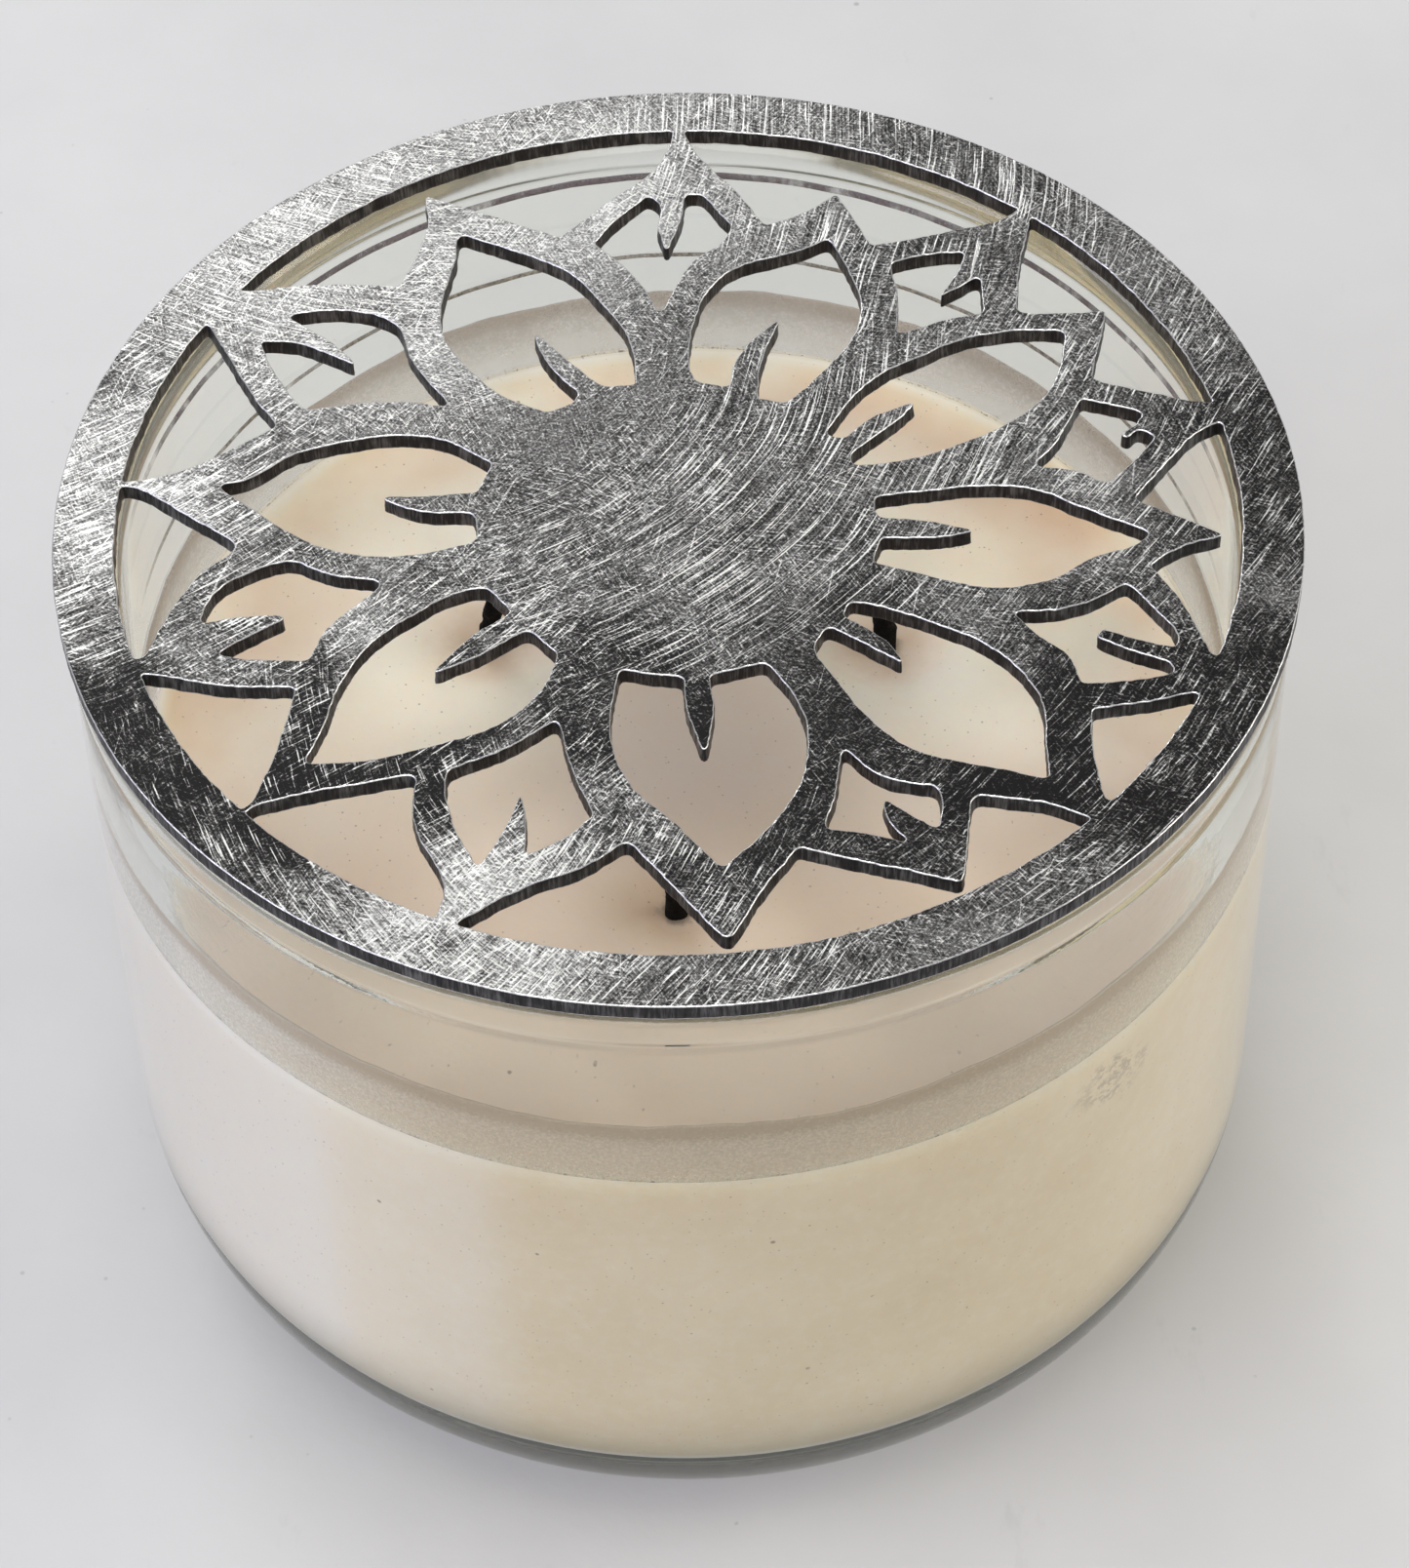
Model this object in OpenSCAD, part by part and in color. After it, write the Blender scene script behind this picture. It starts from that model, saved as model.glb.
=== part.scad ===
// Three-wick candle in a heavy glass jar, with a loose cut-steel sunflower topper.
// Millimetres. Z is up. The origin is the centre of the jar's base, on the table.

/* [Jar] */
// Height of the glass jar without the topper
jar_height = 77.8; // [72:0.1:100]
// Outside radius of the straight glass wall
jar_radius = 51.0; // [50.2:0.1:52]
// Thickness of the straight glass wall
jar_wall = 4.8; // [4.6:0.1:6]
// Radius of the rounded edges of the fire-polished rim
rim_round = 2.0; // [1.5:0.1:2.2]
// Outside radius of the rounded heel at the foot of the jar
heel_radius = 17; // [12:0.5:19]
// Thickness of the glass floor inside the jar
floor_thick = 7; // [5:0.5:11]
// Inside radius of the rounded corner between the floor and the wall
inner_heel_radius = 13; // [8:0.5:14]
// Radius of the shallow hollow under the foot
foot_hollow_radius = 26; // [18:1:29]
// Depth of the shallow hollow under the foot
foot_hollow_depth = 0.8; // [0.4:0.1:1.5]

/* [Wax] */
// Height of the wax surface above the table
wax_level = 52.5; // [40:0.5:60]
// Height of the film of old wax left on the glass above the wax surface
film_height = 8.1; // [3:0.1:10]
// Thickness of that film
film_thick = 0.6; // [0.5:0.1:1]
// Radius of the small fillet where the wax climbs the glass
wax_fillet = 1.5; // [0.8:0.1:2.5]

/* [Wicks] */
// Distance of each wick from the axis of the jar
wick_circle = 20; // [18:0.5:23]
// Direction of the first wick from the X axis, in degrees
wick_angle = 27; // [0:1:119]
// Diameter of the braided wick
wick_dia = 2.0; // [1.6:0.1:2.4]
// Length of charred wick standing out of the wax
wick_stub = 6.5; // [4:0.5:9]
// Lean of the charred end of each wick, in degrees
wick_lean = 14; // [0:1:25]
// Diameter of the steel disc that anchors a wick
tab_dia = 20; // [14:0.5:22]
// Thickness of that disc
tab_thick = 0.5; // [0.4:0.1:0.8]
// Height of the crimped neck on the disc
tab_neck = 6; // [3:0.5:8]
// Wall thickness of the crimped neck
tab_neck_wall = 0.5; // [0.4:0.1:0.8]
// Diameter of the adhesive dot under the disc
sticker_dia = 20; // [14:0.5:22]
// Thickness of the adhesive dot
sticker_thick = 1.0; // [0.6:0.1:1.5]

/* [Topper] */
// Outside radius of the steel topper
topper_radius = 51.5; // [51:0.1:54]
// Inside radius of its plain outer ring
ring_inner = 46.4; // [46.4:0.1:47]
// Thickness of the sheet steel
topper_thick = 1.5; // [0.9:0.1:2]

/* [Hidden] */
$fn = 96;
rim_z = jar_height;
cavity_radius = jar_radius - jar_wall;
foot_radius = jar_radius - heel_radius;
inner_foot_radius = cavity_radius - inner_heel_radius;
film_radius = cavity_radius - film_thick;
wick_r = wick_dia / 2;
char_r = wick_r * 0.75;
// Height above the wax at which a wick starts to lean and thin
char_start = 2;
// How far the leaning end reaches down into the straight part
char_sink = 0.4;
char_length = wick_stub - char_start + char_sink;
neck_r = wick_r + tab_neck_wall;
tab_z = floor_thick + sticker_thick;
wick_angles = [wick_angle, wick_angle + 120, wick_angle + 240];
// Ways the three charred ends lean, each from its own wick's radius, in degrees
lean_ways = [75, 205, 320];
// Overlap that carries a cut clear past a face
slack = 1;

// Rounding left in the corners of a cut by the width of the cut itself
cut_r = 0.45;
// A broader corner, where the cutter swung round
soft_r = 0.9;
// The point of a spike or petal
tip_r = 0.25;
// Longest straight step along a smooth run of an outline
step_mm = 1.6;

// Each outline goes once round a cut. A point with only x and y lies on a
// smooth run; a third number rounds a corner to that radius.
petal_1 = [
    [-18.2, 34.0, cut_r], [-14.9, 32.4], [-11.5, 30.6], [-9.0, 29.0],
    [-6.0, 25.0], [-4.2, 21.7], [-3.3, 18.2], [-3.2, 15.0, cut_r],
    [-6.0, 14.8, soft_r], [-9.0, 18.2], [-12.0, 21.9, tip_r],
    [-10.9, 18.4], [-9.2, 15.6], [-8.0, 14.1, cut_r], [-8.4, 13.2, cut_r],
    [-10.6, 11.9, soft_r], [-13.5, 13.4], [-17.4, 17.5], [-19.6, 22.0],
    [-19.6, 26.0], [-18.7, 30.0]
];
petal_2 = [
    [13.8, 32.1, cut_r], [11.0, 30.6], [8.8, 29.9], [6.0, 29.0],
    [3.8, 27.0], [2.2, 23.5], [1.45, 19.5], [1.4, 16.8], [1.8, 15.1, cut_r],
    [4.7, 14.3, cut_r], [5.1, 16.7], [6.4, 19.4], [9.4, 22.6, tip_r],
    [8.2, 19.6], [7.2, 15.5], [7.0, 12.9, cut_r], [9.5, 12.3, soft_r],
    [12.2, 15.4], [14.9, 19.0], [16.2, 23.4], [15.6, 27.2]
];
petal_3 = [
    [33.4, 19.9, cut_r], [29.3, 20.1], [25.2, 19.4], [21.0, 17.4],
    [17.0, 15.0], [14.5, 12.0], [12.5, 8.4, cut_r], [14.0, 7.9, cut_r],
    [16.5, 10.3], [20.6, 12.2, tip_r], [18.5, 9.8], [15.9, 7.4],
    [14.5, 5.9], [14.6, 4.8, cut_r], [18.5, 5.1], [23.0, 6.6],
    [28.2, 9.4], [31.3, 12.4], [32.8, 16.2]
];
petal_4 = [
    [38.8, -3.8, cut_r], [36.5, -2.6], [33.0, -0.6], [29.3, 1.5],
    [25.5, 2.0], [20.5, 1.6], [16.3, 1.1, cut_r], [16.3, -1.3, soft_r],
    [20.0, -1.7], [24.7, -3.1, tip_r], [20.8, -3.7], [16.6, -3.5, cut_r],
    [15.8, -6.2, cut_r], [20.0, -7.8], [25.5, -9.4], [30.0, -8.8],
    [33.8, -6.4], [37.5, -5.0]
];
petal_5 = [
    [13.7, -10.4, soft_r], [17.0, -11.5], [20.5, -13.2], [24.5, -15.6],
    [27.2, -18.7], [28.6, -22.5], [28.5, -26.0], [28.6, -30.0, cut_r],
    [24.0, -28.5], [18.2, -26.5], [15.0, -23.5], [12.3, -18.8],
    [10.7, -15.3], [11.7, -13.0, soft_r], [14.0, -14.6], [18.0, -17.6, tip_r],
    [16.6, -15.0], [13.1, -12.0, cut_r]
];
petal_6 = [
    [2.7, -38.0, cut_r], [-1.0, -33.2], [-4.0, -29.8], [-5.8, -24.5],
    [-5.6, -20.5], [-5.0, -17.1, cut_r], [-2.2, -17.8], [0.1, -18.1, cut_r],
    [0.2, -21.5], [1.6, -26.5, tip_r], [2.4, -22.0], [2.2, -18.0, cut_r],
    [6.8, -16.8, soft_r], [8.8, -20.3], [9.8, -25.2], [8.9, -29.7],
    [6.2, -34.2]
];
petal_7 = [
    [-30.1, -26.1, cut_r], [-28.7, -22.5], [-27.4, -17.8], [-25.0, -13.5],
    [-21.0, -10.1], [-18.4, -8.4], [-15.7, -7.7, soft_r], [-13.6, -10.6, cut_r],
    [-16.4, -12.6], [-20.4, -17.2, tip_r], [-16.5, -15.3],
    [-12.3, -12.4, soft_r], [-9.9, -15.4, soft_r], [-11.4, -19.2],
    [-14.6, -22.5], [-20.0, -24.6], [-25.5, -26.0]
];
petal_8 = [
    [-38.2, 4.6, cut_r], [-35.9, 5.1], [-31.5, 8.1], [-27.0, 9.3],
    [-23.5, 9.8], [-19.2, 9.0], [-15.3, 6.2, cut_r], [-16.6, 2.9, cut_r],
    [-20.5, 2.7], [-24.8, 2.7, tip_r], [-21.5, 1.0], [-16.7, 0.6, cut_r],
    [-16.5, -2.6, soft_r], [-20.0, -3.6], [-24.5, -4.0], [-29.4, -2.7],
    [-34.0, 0.8]
];
sepal_1 = [
    [-6.6, 32.4, cut_r], [-4.4, 35.4], [-1.8, 38.2, soft_r], [-0.9, 37.2],
    [-1.0, 33.8], [-0.3, 30.9, tip_r], [0.9, 34.4], [1.5, 38.1, cut_r],
    [2.9, 38.2, soft_r], [5.4, 34.1, cut_r], [4.7, 32.2], [2.0, 29.8],
    [0.0, 25.6], [-1.0, 23.3, soft_r], [-2.2, 26.4], [-4.1, 29.5]
];
sepal_2 = [
    [19.0, 28.9, cut_r], [22.0, 29.7], [25.6, 30.0, cut_r], [24.6, 27.3],
    [22.8, 24.3, tip_r], [24.6, 25.6], [26.6, 27.0, soft_r],
    [26.6, 22.3, cut_r], [23.5, 21.7], [19.0, 20.0, cut_r], [19.4, 24.5]
];
sepal_3 = [
    [34.1, 11.8, cut_r], [36.8, 10.9], [39.2, 9.9, cut_r], [38.4, 8.4],
    [37.0, 7.5, cut_r], [37.7, 7.0, tip_r], [38.6, 7.9], [40.1, 7.2, cut_r],
    [38.5, 5.0], [35.6, 1.8, soft_r], [33.0, 3.4], [29.6, 4.1, cut_r],
    [31.7, 6.7], [33.2, 9.8]
];
sepal_4 = [
    [26.7, -12.1, cut_r], [30.2, -12.1], [33.6, -11.0], [36.3, -9.3, cut_r],
    [37.9, -11.7], [39.9, -15.4], [39.7, -16.6, cut_r], [36.6, -15.5],
    [33.8, -14.2, cut_r], [33.3, -15.1, tip_r], [35.6, -16.5],
    [39.0, -18.0, cut_r], [39.3, -19.2, cut_r], [35.8, -19.9],
    [31.9, -20.1, cut_r], [31.0, -17.1], [28.6, -14.6]
];
sepal_5 = [
    [12.5, -25.9, soft_r], [14.2, -28.1], [16.5, -29.7], [19.8, -30.3, soft_r],
    [20.0, -32.3], [19.6, -34.9, soft_r], [17.6, -33.2], [15.3, -31.3, tip_r],
    [15.7, -33.7], [17.4, -36.1, soft_r], [14.2, -35.0], [10.7, -34.3, cut_r],
    [11.6, -31.2]
];
sepal_6 = [
    [-18.8, -27.2, soft_r], [-15.7, -25.9], [-12.7, -24.2], [-9.9, -22.0, soft_r],
    [-9.5, -25.2], [-8.4, -29.0], [-7.3, -32.3, cut_r], [-9.5, -34.5],
    [-12.7, -36.2, cut_r], [-12.5, -32.6], [-12.9, -29.5, tip_r],
    [-13.9, -32.6], [-15.2, -35.4], [-16.3, -37.3, soft_r],
    [-18.2, -32.8], [-18.8, -29.8]
];
sepal_7 = [
    [-39.1, -10.9, cut_r], [-38.0, -7.7], [-35.2, -5.4], [-32.0, -4.2],
    [-28.7, -5.8], [-23.8, -6.8, soft_r], [-26.5, -9.5], [-28.6, -11.7],
    [-30.0, -15.2, cut_r], [-34.0, -15.0], [-37.8, -14.3, cut_r],
    [-34.5, -12.1], [-31.7, -10.3, tip_r], [-34.6, -10.1]
];
sepal_8 = [
    [-33.1, 24.5, cut_r], [-29.5, 25.0], [-26.0, 24.5], [-23.4, 22.9],
    [-22.4, 19.2], [-20.4, 15.5], [-18.6, 12.9, cut_r], [-22.0, 13.6],
    [-26.5, 13.7], [-31.1, 13.0, soft_r], [-33.2, 16.4], [-35.3, 21.6, cut_r],
    [-32.0, 21.1], [-28.6, 19.3], [-26.7, 18.1, tip_r], [-28.4, 20.4]
];

// The cuts that run along the plain ring: the inner side of each is an
// outline, and the rest of each loop lies past the ring and is trimmed off.
edge_1 = [
    [0.1, 50], [0.1, 44.0], [-1.1, 41.6], [-5.0, 37.8], [-9.5, 33.2, cut_r],
    [-13.2, 35.0], [-17.0, 36.9], [-21.3, 39.0, tip_r], [-21.0, 35.0],
    [-22.0, 31.2], [-23.3, 27.7, cut_r], [-27.5, 28.1], [-32.0, 28.1],
    [-36.9, 27.6, cut_r], [-39.5, 31.4], [-32, 42], [-16, 49]
];
edge_2 = [
    [31.0, 36.0], [29.4, 34.2], [24.5, 32.6], [17.4, 31.0, cut_r],
    [16.1, 34.4], [14.7, 37.7, tip_r], [11.6, 35.3], [8.4, 33.9, cut_r],
    [6.2, 38.0], [3.3, 42.2], [1.9, 45.0], [1.9, 50], [14, 49], [25, 43]
];
edge_3 = [
    [47.5, 11.1], [44.7, 10.9], [40.5, 12.1], [35.1, 14.0, soft_r],
    [36.1, 18.0], [37.1, 22.2, tip_r], [33.0, 22.0], [29.4, 22.2, soft_r],
    [30.0, 27.5], [31.4, 34.0, cut_r], [34.5, 35.0], [41, 27], [47, 17]
];
edge_4 = [
    [45.5, 8.6, cut_r], [43.5, 7.4], [40.7, 4.0], [37.6, 0.0, cut_r], [41.0, -2.0],
    [44.8, -4.4, tip_r], [41.2, -5.4], [38.3, -7.4, cut_r], [40.4, -11.2],
    [42.6, -17.8, cut_r], [46, -15], [49, -5], [49, 7]
];
edge_5 = [
    [40.7, -21.3, cut_r], [37.0, -22.2], [32.4, -22.7, cut_r], [32.2, -26.5],
    [32.8, -32.3, cut_r], [38, -31], [43, -24]
];
edge_6 = [
    [32.4, -34.8], [29.2, -32.8], [22.4, -31.2, soft_r], [21.9, -35.0],
    [21.2, -40.2, cut_r], [17.5, -38.9], [13.0, -37.6], [8.6, -36.1, cut_r],
    [6.1, -39.6], [3.2, -44.9, cut_r], [2.5, -44.8, cut_r], [-1.0, -40.0],
    [-4.7, -34.8, soft_r], [-7.2, -37.0], [-12.5, -39.2], [-17.9, -42.6, cut_r],
    [-17, -47], [0, -50], [18, -47]
];
edge_7 = [
    [-34.8, -31.1], [-31.0, -29.5], [-26.0, -28.4], [-21.2, -27.5, cut_r],
    [-21.4, -32.0], [-18.9, -39.8], [-19.4, -42.1, cut_r], [-24, -43], [-34, -35]
];
edge_8 = [
    [-43.3, -16.0, cut_r], [-40.6, -16.7], [-37.0, -17.6], [-30.9, -18.0, cut_r],
    [-31.8, -22.5], [-33.0, -26.9], [-35.2, -31.0], [-38, -31], [-46, -19]
];
edge_9 = [
    [-47.0, 4.85], [-44.9, 4.6], [-41.5, 2.1], [-38.3, -0.4],
    [-35.9, -2.4, soft_r], [-39.0, -5.3], [-41.6, -10.0], [-43.3, -14.4, cut_r],
    [-48, -14], [-49, -5]
];
edge_10 = [
    [-39.6, 23.8, cut_r], [-37.6, 19.4], [-35.3, 14.6], [-33.3, 11.3, cut_r],
    [-36.6, 9.1], [-40.5, 6.7], [-44.8, 5.45], [-47.0, 5.35], [-49, 12],
    [-45, 22]
];

inner_cuts = [
    petal_1, petal_2, petal_3, petal_4, petal_5, petal_6, petal_7, petal_8,
    sepal_1, sepal_2, sepal_3, sepal_4, sepal_5, sepal_6, sepal_7, sepal_8
];
ring_cuts = [
    edge_1, edge_2, edge_3, edge_4, edge_5, edge_6, edge_7, edge_8, edge_9, edge_10
];

function at(p, i) = p[(i + len(p)) % len(p)];
function flat(v) = [v[0], v[1]];
function unit(v) = v / norm(v);
// How far a corner's rounding reaches along its two sides
function reach(a, b, c, r) =
    let (turn = acos(unit(a - b) * unit(c - b)))
    min(r / tan(turn / 2), norm(a - b) * 0.35, norm(c - b) * 0.35);
// Where the outline leaves point i toward the point beside it
function leave(p, i, way) =
    let (a = flat(at(p, i - 1)), b = flat(at(p, i)), c = flat(at(p, i + 1)))
    len(at(p, i)) == 2 ? b
    : b + unit((way > 0 ? c : a) - b) * reach(a, b, c, at(p, i)[2]);
// Direction of travel through point i
function heading(p, i, way) =
    let (a = flat(at(p, i - 1)), b = flat(at(p, i)), c = flat(at(p, i + 1)))
    len(at(p, i)) == 2 ? unit(unit(b - a) / norm(b - a) + unit(c - b) / norm(c - b))
    : unit(way > 0 ? c - b : b - a);
function blend(p0, m0, p1, m1, t) =
    (2 * t * t * t - 3 * t * t + 1) * p0 + (t * t * t - 2 * t * t + t) * m0
    + (3 * t * t - 2 * t * t * t) * p1 + (t * t * t - t * t) * m1;
// Points from the far side of point i up to the near side of the next
function run(p, i) =
    let (
        p0 = leave(p, i, 1), p1 = leave(p, i + 1, -1), span = norm(p1 - p0),
        m0 = heading(p, i, 1) * span, m1 = heading(p, i + 1, -1) * span,
        both_sharp = len(at(p, i)) == 3 && len(at(p, i + 1)) == 3,
        steps = both_sharp ? 1 : max(2, ceil(span / step_mm))
    )
    [for (k = [0 : steps - 1]) blend(p0, m0, p1, m1, k / steps)];
// Points round the corner at point i
function bend(p, i) =
    let (a = leave(p, i, -1), b = flat(at(p, i)), c = leave(p, i, 1))
    len(at(p, i)) == 2 ? []
    : [for (t = [0, 1 / 3, 2 / 3]) (1 - t) * (1 - t) * a + 2 * t * (1 - t) * b + t * t * c];
function outline(p) =
    [for (i = [0 : len(p) - 1]) each concat(bend(p, i), run(p, i))];

// Half section of the jar's outside: straight wall, rounded heel and rim
module jar_outside_section() {
    square([foot_radius, heel_radius]);
    translate([0, heel_radius])
        square([jar_radius, rim_z - rim_round - heel_radius]);
    translate([0, rim_z - rim_round - slack])
        square([jar_radius - rim_round, rim_round + slack]);
    translate([jar_radius - rim_round, rim_z - rim_round])
        circle(r = rim_round);
    intersection() {
        translate([foot_radius, heel_radius])
            circle(r = heel_radius);
        translate([foot_radius, 0])
            square([heel_radius, heel_radius]);
    }
}

// Half section of the hollow inside the jar, open at the top
module cavity_section(top) {
    translate([0, floor_thick])
        square([inner_foot_radius, top - floor_thick]);
    translate([0, floor_thick + inner_heel_radius])
        square([cavity_radius, top - floor_thick - inner_heel_radius]);
    intersection() {
        translate([inner_foot_radius, floor_thick + inner_heel_radius])
            circle(r = inner_heel_radius);
        translate([inner_foot_radius, floor_thick])
            square([inner_heel_radius, inner_heel_radius]);
    }
}

module glass_jar() {
    color([0.80, 0.88, 0.86, 0.4])
        rotate_extrude()
            difference() {
                jar_outside_section();
                cavity_section(rim_z + slack);
                square([foot_hollow_radius, foot_hollow_depth]);
                difference() {
                    translate([cavity_radius - slack, rim_z - rim_round])
                        square([rim_round + slack, rim_round + slack]);
                    translate([cavity_radius + rim_round, rim_z - rim_round])
                        circle(r = rim_round);
                }
            }
}

// Half section of the wax: the fill, its small climb up the glass, the old film
module wax_section() {
    cavity_section(wax_level);
    translate([film_radius, wax_level - slack])
        square([film_thick, film_height + slack]);
    difference() {
        translate([film_radius - wax_fillet, wax_level - slack])
            square([wax_fillet + film_thick / 2, wax_fillet + slack]);
        translate([film_radius - wax_fillet, wax_level + wax_fillet])
            circle(r = wax_fillet);
    }
}

module at_wick(i) {
    rotate([0, 0, wick_angles[i]])
        translate([wick_circle, 0, 0])
            children();
}

module wax_fill() {
    color([0.93, 0.88, 0.78])
        difference() {
            rotate_extrude()
                wax_section();
            for (i = [0, 1, 2])
                at_wick(i) {
                    translate([0, 0, tab_z])
                        cylinder(r = wick_r, h = wax_level);
                    translate([0, 0, tab_z])
                        cylinder(r = neck_r, h = tab_thick + tab_neck);
                    translate([0, 0, tab_z])
                        cylinder(d = tab_dia, h = tab_thick);
                    translate([0, 0, floor_thick - slack])
                        cylinder(d = sticker_dia, h = sticker_thick + slack);
                }
        }
}

// Half section of the charred end: a thin stem with a round tip
module char_section() {
    square([char_r, char_length - char_r]);
    intersection() {
        translate([0, char_length - char_r])
            circle(r = char_r);
        translate([0, char_length - char_r])
            square([char_r, char_r]);
    }
}

// One wick: straight in the wax, its charred end thinner and leaning a little
module wick(i) {
    color([0.08, 0.07, 0.07])
        at_wick(i) {
            translate([0, 0, tab_z])
                cylinder(r = wick_r, h = wax_level + char_start - tab_z);
            translate([0, 0, wax_level + char_start - char_sink])
                rotate([0, 0, lean_ways[i]])
                    rotate([0, wick_lean, 0])
                        rotate_extrude()
                            char_section();
        }
}

module wick_1() {
    wick(0);
}

module wick_2() {
    wick(1);
}

module wick_3() {
    wick(2);
}

// Steel disc with a crimped neck that grips the foot of a wick
module wick_tab(i) {
    color([0.72, 0.72, 0.70])
        at_wick(i)
            translate([0, 0, tab_z])
                difference() {
                    union() {
                        cylinder(d = tab_dia, h = tab_thick);
                        cylinder(r = neck_r, h = tab_thick + tab_neck);
                    }
                    translate([0, 0, -slack])
                        cylinder(r = wick_r, h = tab_thick + tab_neck + 2 * slack);
                }
}

module wick_tab_1() {
    wick_tab(0);
}

module wick_tab_2() {
    wick_tab(1);
}

module wick_tab_3() {
    wick_tab(2);
}

// Adhesive dot that holds a disc down on the glass floor
module wick_sticker(i) {
    color([0.95, 0.95, 0.92])
        at_wick(i)
            translate([0, 0, floor_thick])
                cylinder(d = sticker_dia, h = sticker_thick);
}

module wick_sticker_1() {
    wick_sticker(0);
}

module wick_sticker_2() {
    wick_sticker(1);
}

module wick_sticker_3() {
    wick_sticker(2);
}

module sunflower_topper() {
    color([0.45, 0.45, 0.46])
        translate([0, 0, rim_z])
            linear_extrude(height = topper_thick)
                difference() {
                    circle(r = topper_radius);
                    for (cut = inner_cuts)
                        polygon(outline(cut));
                    intersection() {
                        circle(r = ring_inner);
                        for (cut = ring_cuts)
                            polygon(outline(cut));
                    }
                }
}

glass_jar();
wax_fill();
wick_1();
wick_2();
wick_3();
wick_tab_1();
wick_tab_2();
wick_tab_3();
wick_sticker_1();
wick_sticker_2();
wick_sticker_3();
sunflower_topper();
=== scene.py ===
import math
import random

import bmesh
import bpy
import numpy as np
from mathutils import Matrix, Vector, noise
from mathutils.geometry import delaunay_2d_cdt


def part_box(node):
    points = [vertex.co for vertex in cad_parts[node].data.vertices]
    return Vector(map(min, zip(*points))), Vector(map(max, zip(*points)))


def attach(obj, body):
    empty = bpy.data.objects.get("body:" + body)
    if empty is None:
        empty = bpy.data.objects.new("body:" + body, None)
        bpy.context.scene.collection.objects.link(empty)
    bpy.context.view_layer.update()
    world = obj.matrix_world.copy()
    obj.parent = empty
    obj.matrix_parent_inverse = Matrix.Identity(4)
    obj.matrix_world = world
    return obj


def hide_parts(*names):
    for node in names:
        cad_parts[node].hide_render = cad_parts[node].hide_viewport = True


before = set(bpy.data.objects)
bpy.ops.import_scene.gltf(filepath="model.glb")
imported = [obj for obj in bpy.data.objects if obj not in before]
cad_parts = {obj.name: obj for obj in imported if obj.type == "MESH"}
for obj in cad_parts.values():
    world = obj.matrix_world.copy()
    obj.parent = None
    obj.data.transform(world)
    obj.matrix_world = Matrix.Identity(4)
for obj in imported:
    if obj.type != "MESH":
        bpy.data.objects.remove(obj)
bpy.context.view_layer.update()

# Lengths below are in millimetres unless a name says otherwise
MM = 0.001
JAR, TOPPER = "jar", "topper"

low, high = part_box("glass_jar")
JAR_RADIUS = high.x / MM
RIM_Z = high.z / MM
low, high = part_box("wax_fill")
CAVITY_RADIUS = high.x / MM
GLASS_FLOOR = low.z / MM
FILM_TOP = high.z / MM
low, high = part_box("sunflower_topper")
PLATE_BOTTOM, PLATE_TOP = low.z / MM, high.z / MM
PLATE_RADIUS = high.x / MM
low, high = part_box("wick_tab_1")
TAB_Z = low.z / MM

# The sizes that part.scad gives the parts that a box doesn't show
HEEL_RADIUS = 17.0
INNER_HEEL_RADIUS = 13.0
RIM_ROUND = 2.0
FOOT_HOLLOW_RADIUS = 26.0
FOOT_HOLLOW_DEPTH = 0.8
WAX_LEVEL = 52.5
WICK_CIRCLE = 20.0
WICK_ANGLES = [27.0, 147.0, 267.0]
LEAN_WAYS = [75.0, 205.0, 320.0]
WICK_LEAN = 14.0
STICKER_RADIUS = 10.0
WICK_COUNT = len(WICK_ANGLES)

# Wax reaches this far into the glass, so that no air gap shows between them
CONTACT = 0.08
ROUND_STEPS = 240


def wick_foot(i):
    """Where a wick stands, from the jar's middle."""
    a = math.radians(WICK_ANGLES[i])
    return WICK_CIRCLE * math.cos(a), WICK_CIRCLE * math.sin(a)


# ---------------------------------------------------------------- meshes
def noise_at(x, y, z, scale):
    return noise.noise(Vector((x, y, z)) * scale)


def mesh_object(name, verts, faces, material, smooth=True):
    """A mesh from points in millimetres, with its normals made outward."""
    mesh = bpy.data.meshes.new(name)
    mesh.from_pydata([[c * MM for c in v] for v in verts], [], faces)
    mesh.validate()
    bm = bmesh.new()
    bm.from_mesh(mesh)
    bmesh.ops.recalc_face_normals(bm, faces=bm.faces)
    bm.to_mesh(mesh)
    bm.free()
    mesh.polygons.foreach_set("use_smooth", [smooth] * len(mesh.polygons))
    mesh.materials.append(material)
    obj = bpy.data.objects.new(name, mesh)
    bpy.context.scene.collection.objects.link(obj)
    return obj


def arc(cx, cz, radius, start, end, steps):
    """Points on an arc, from angle start to angle end in degrees."""
    points = []
    for k in range(steps + 1):
        a = math.radians(start + (end - start) * k / steps)
        points.append((cx + radius * math.cos(a), cz + radius * math.sin(a)))
    return points


def straight(x0, z0, x1, z1, steps):
    """Points from the first end up to, but not with, the second."""
    return [
        (x0 + (x1 - x0) * k / steps, z0 + (z1 - z0) * k / steps) for k in range(steps)
    ]


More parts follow.
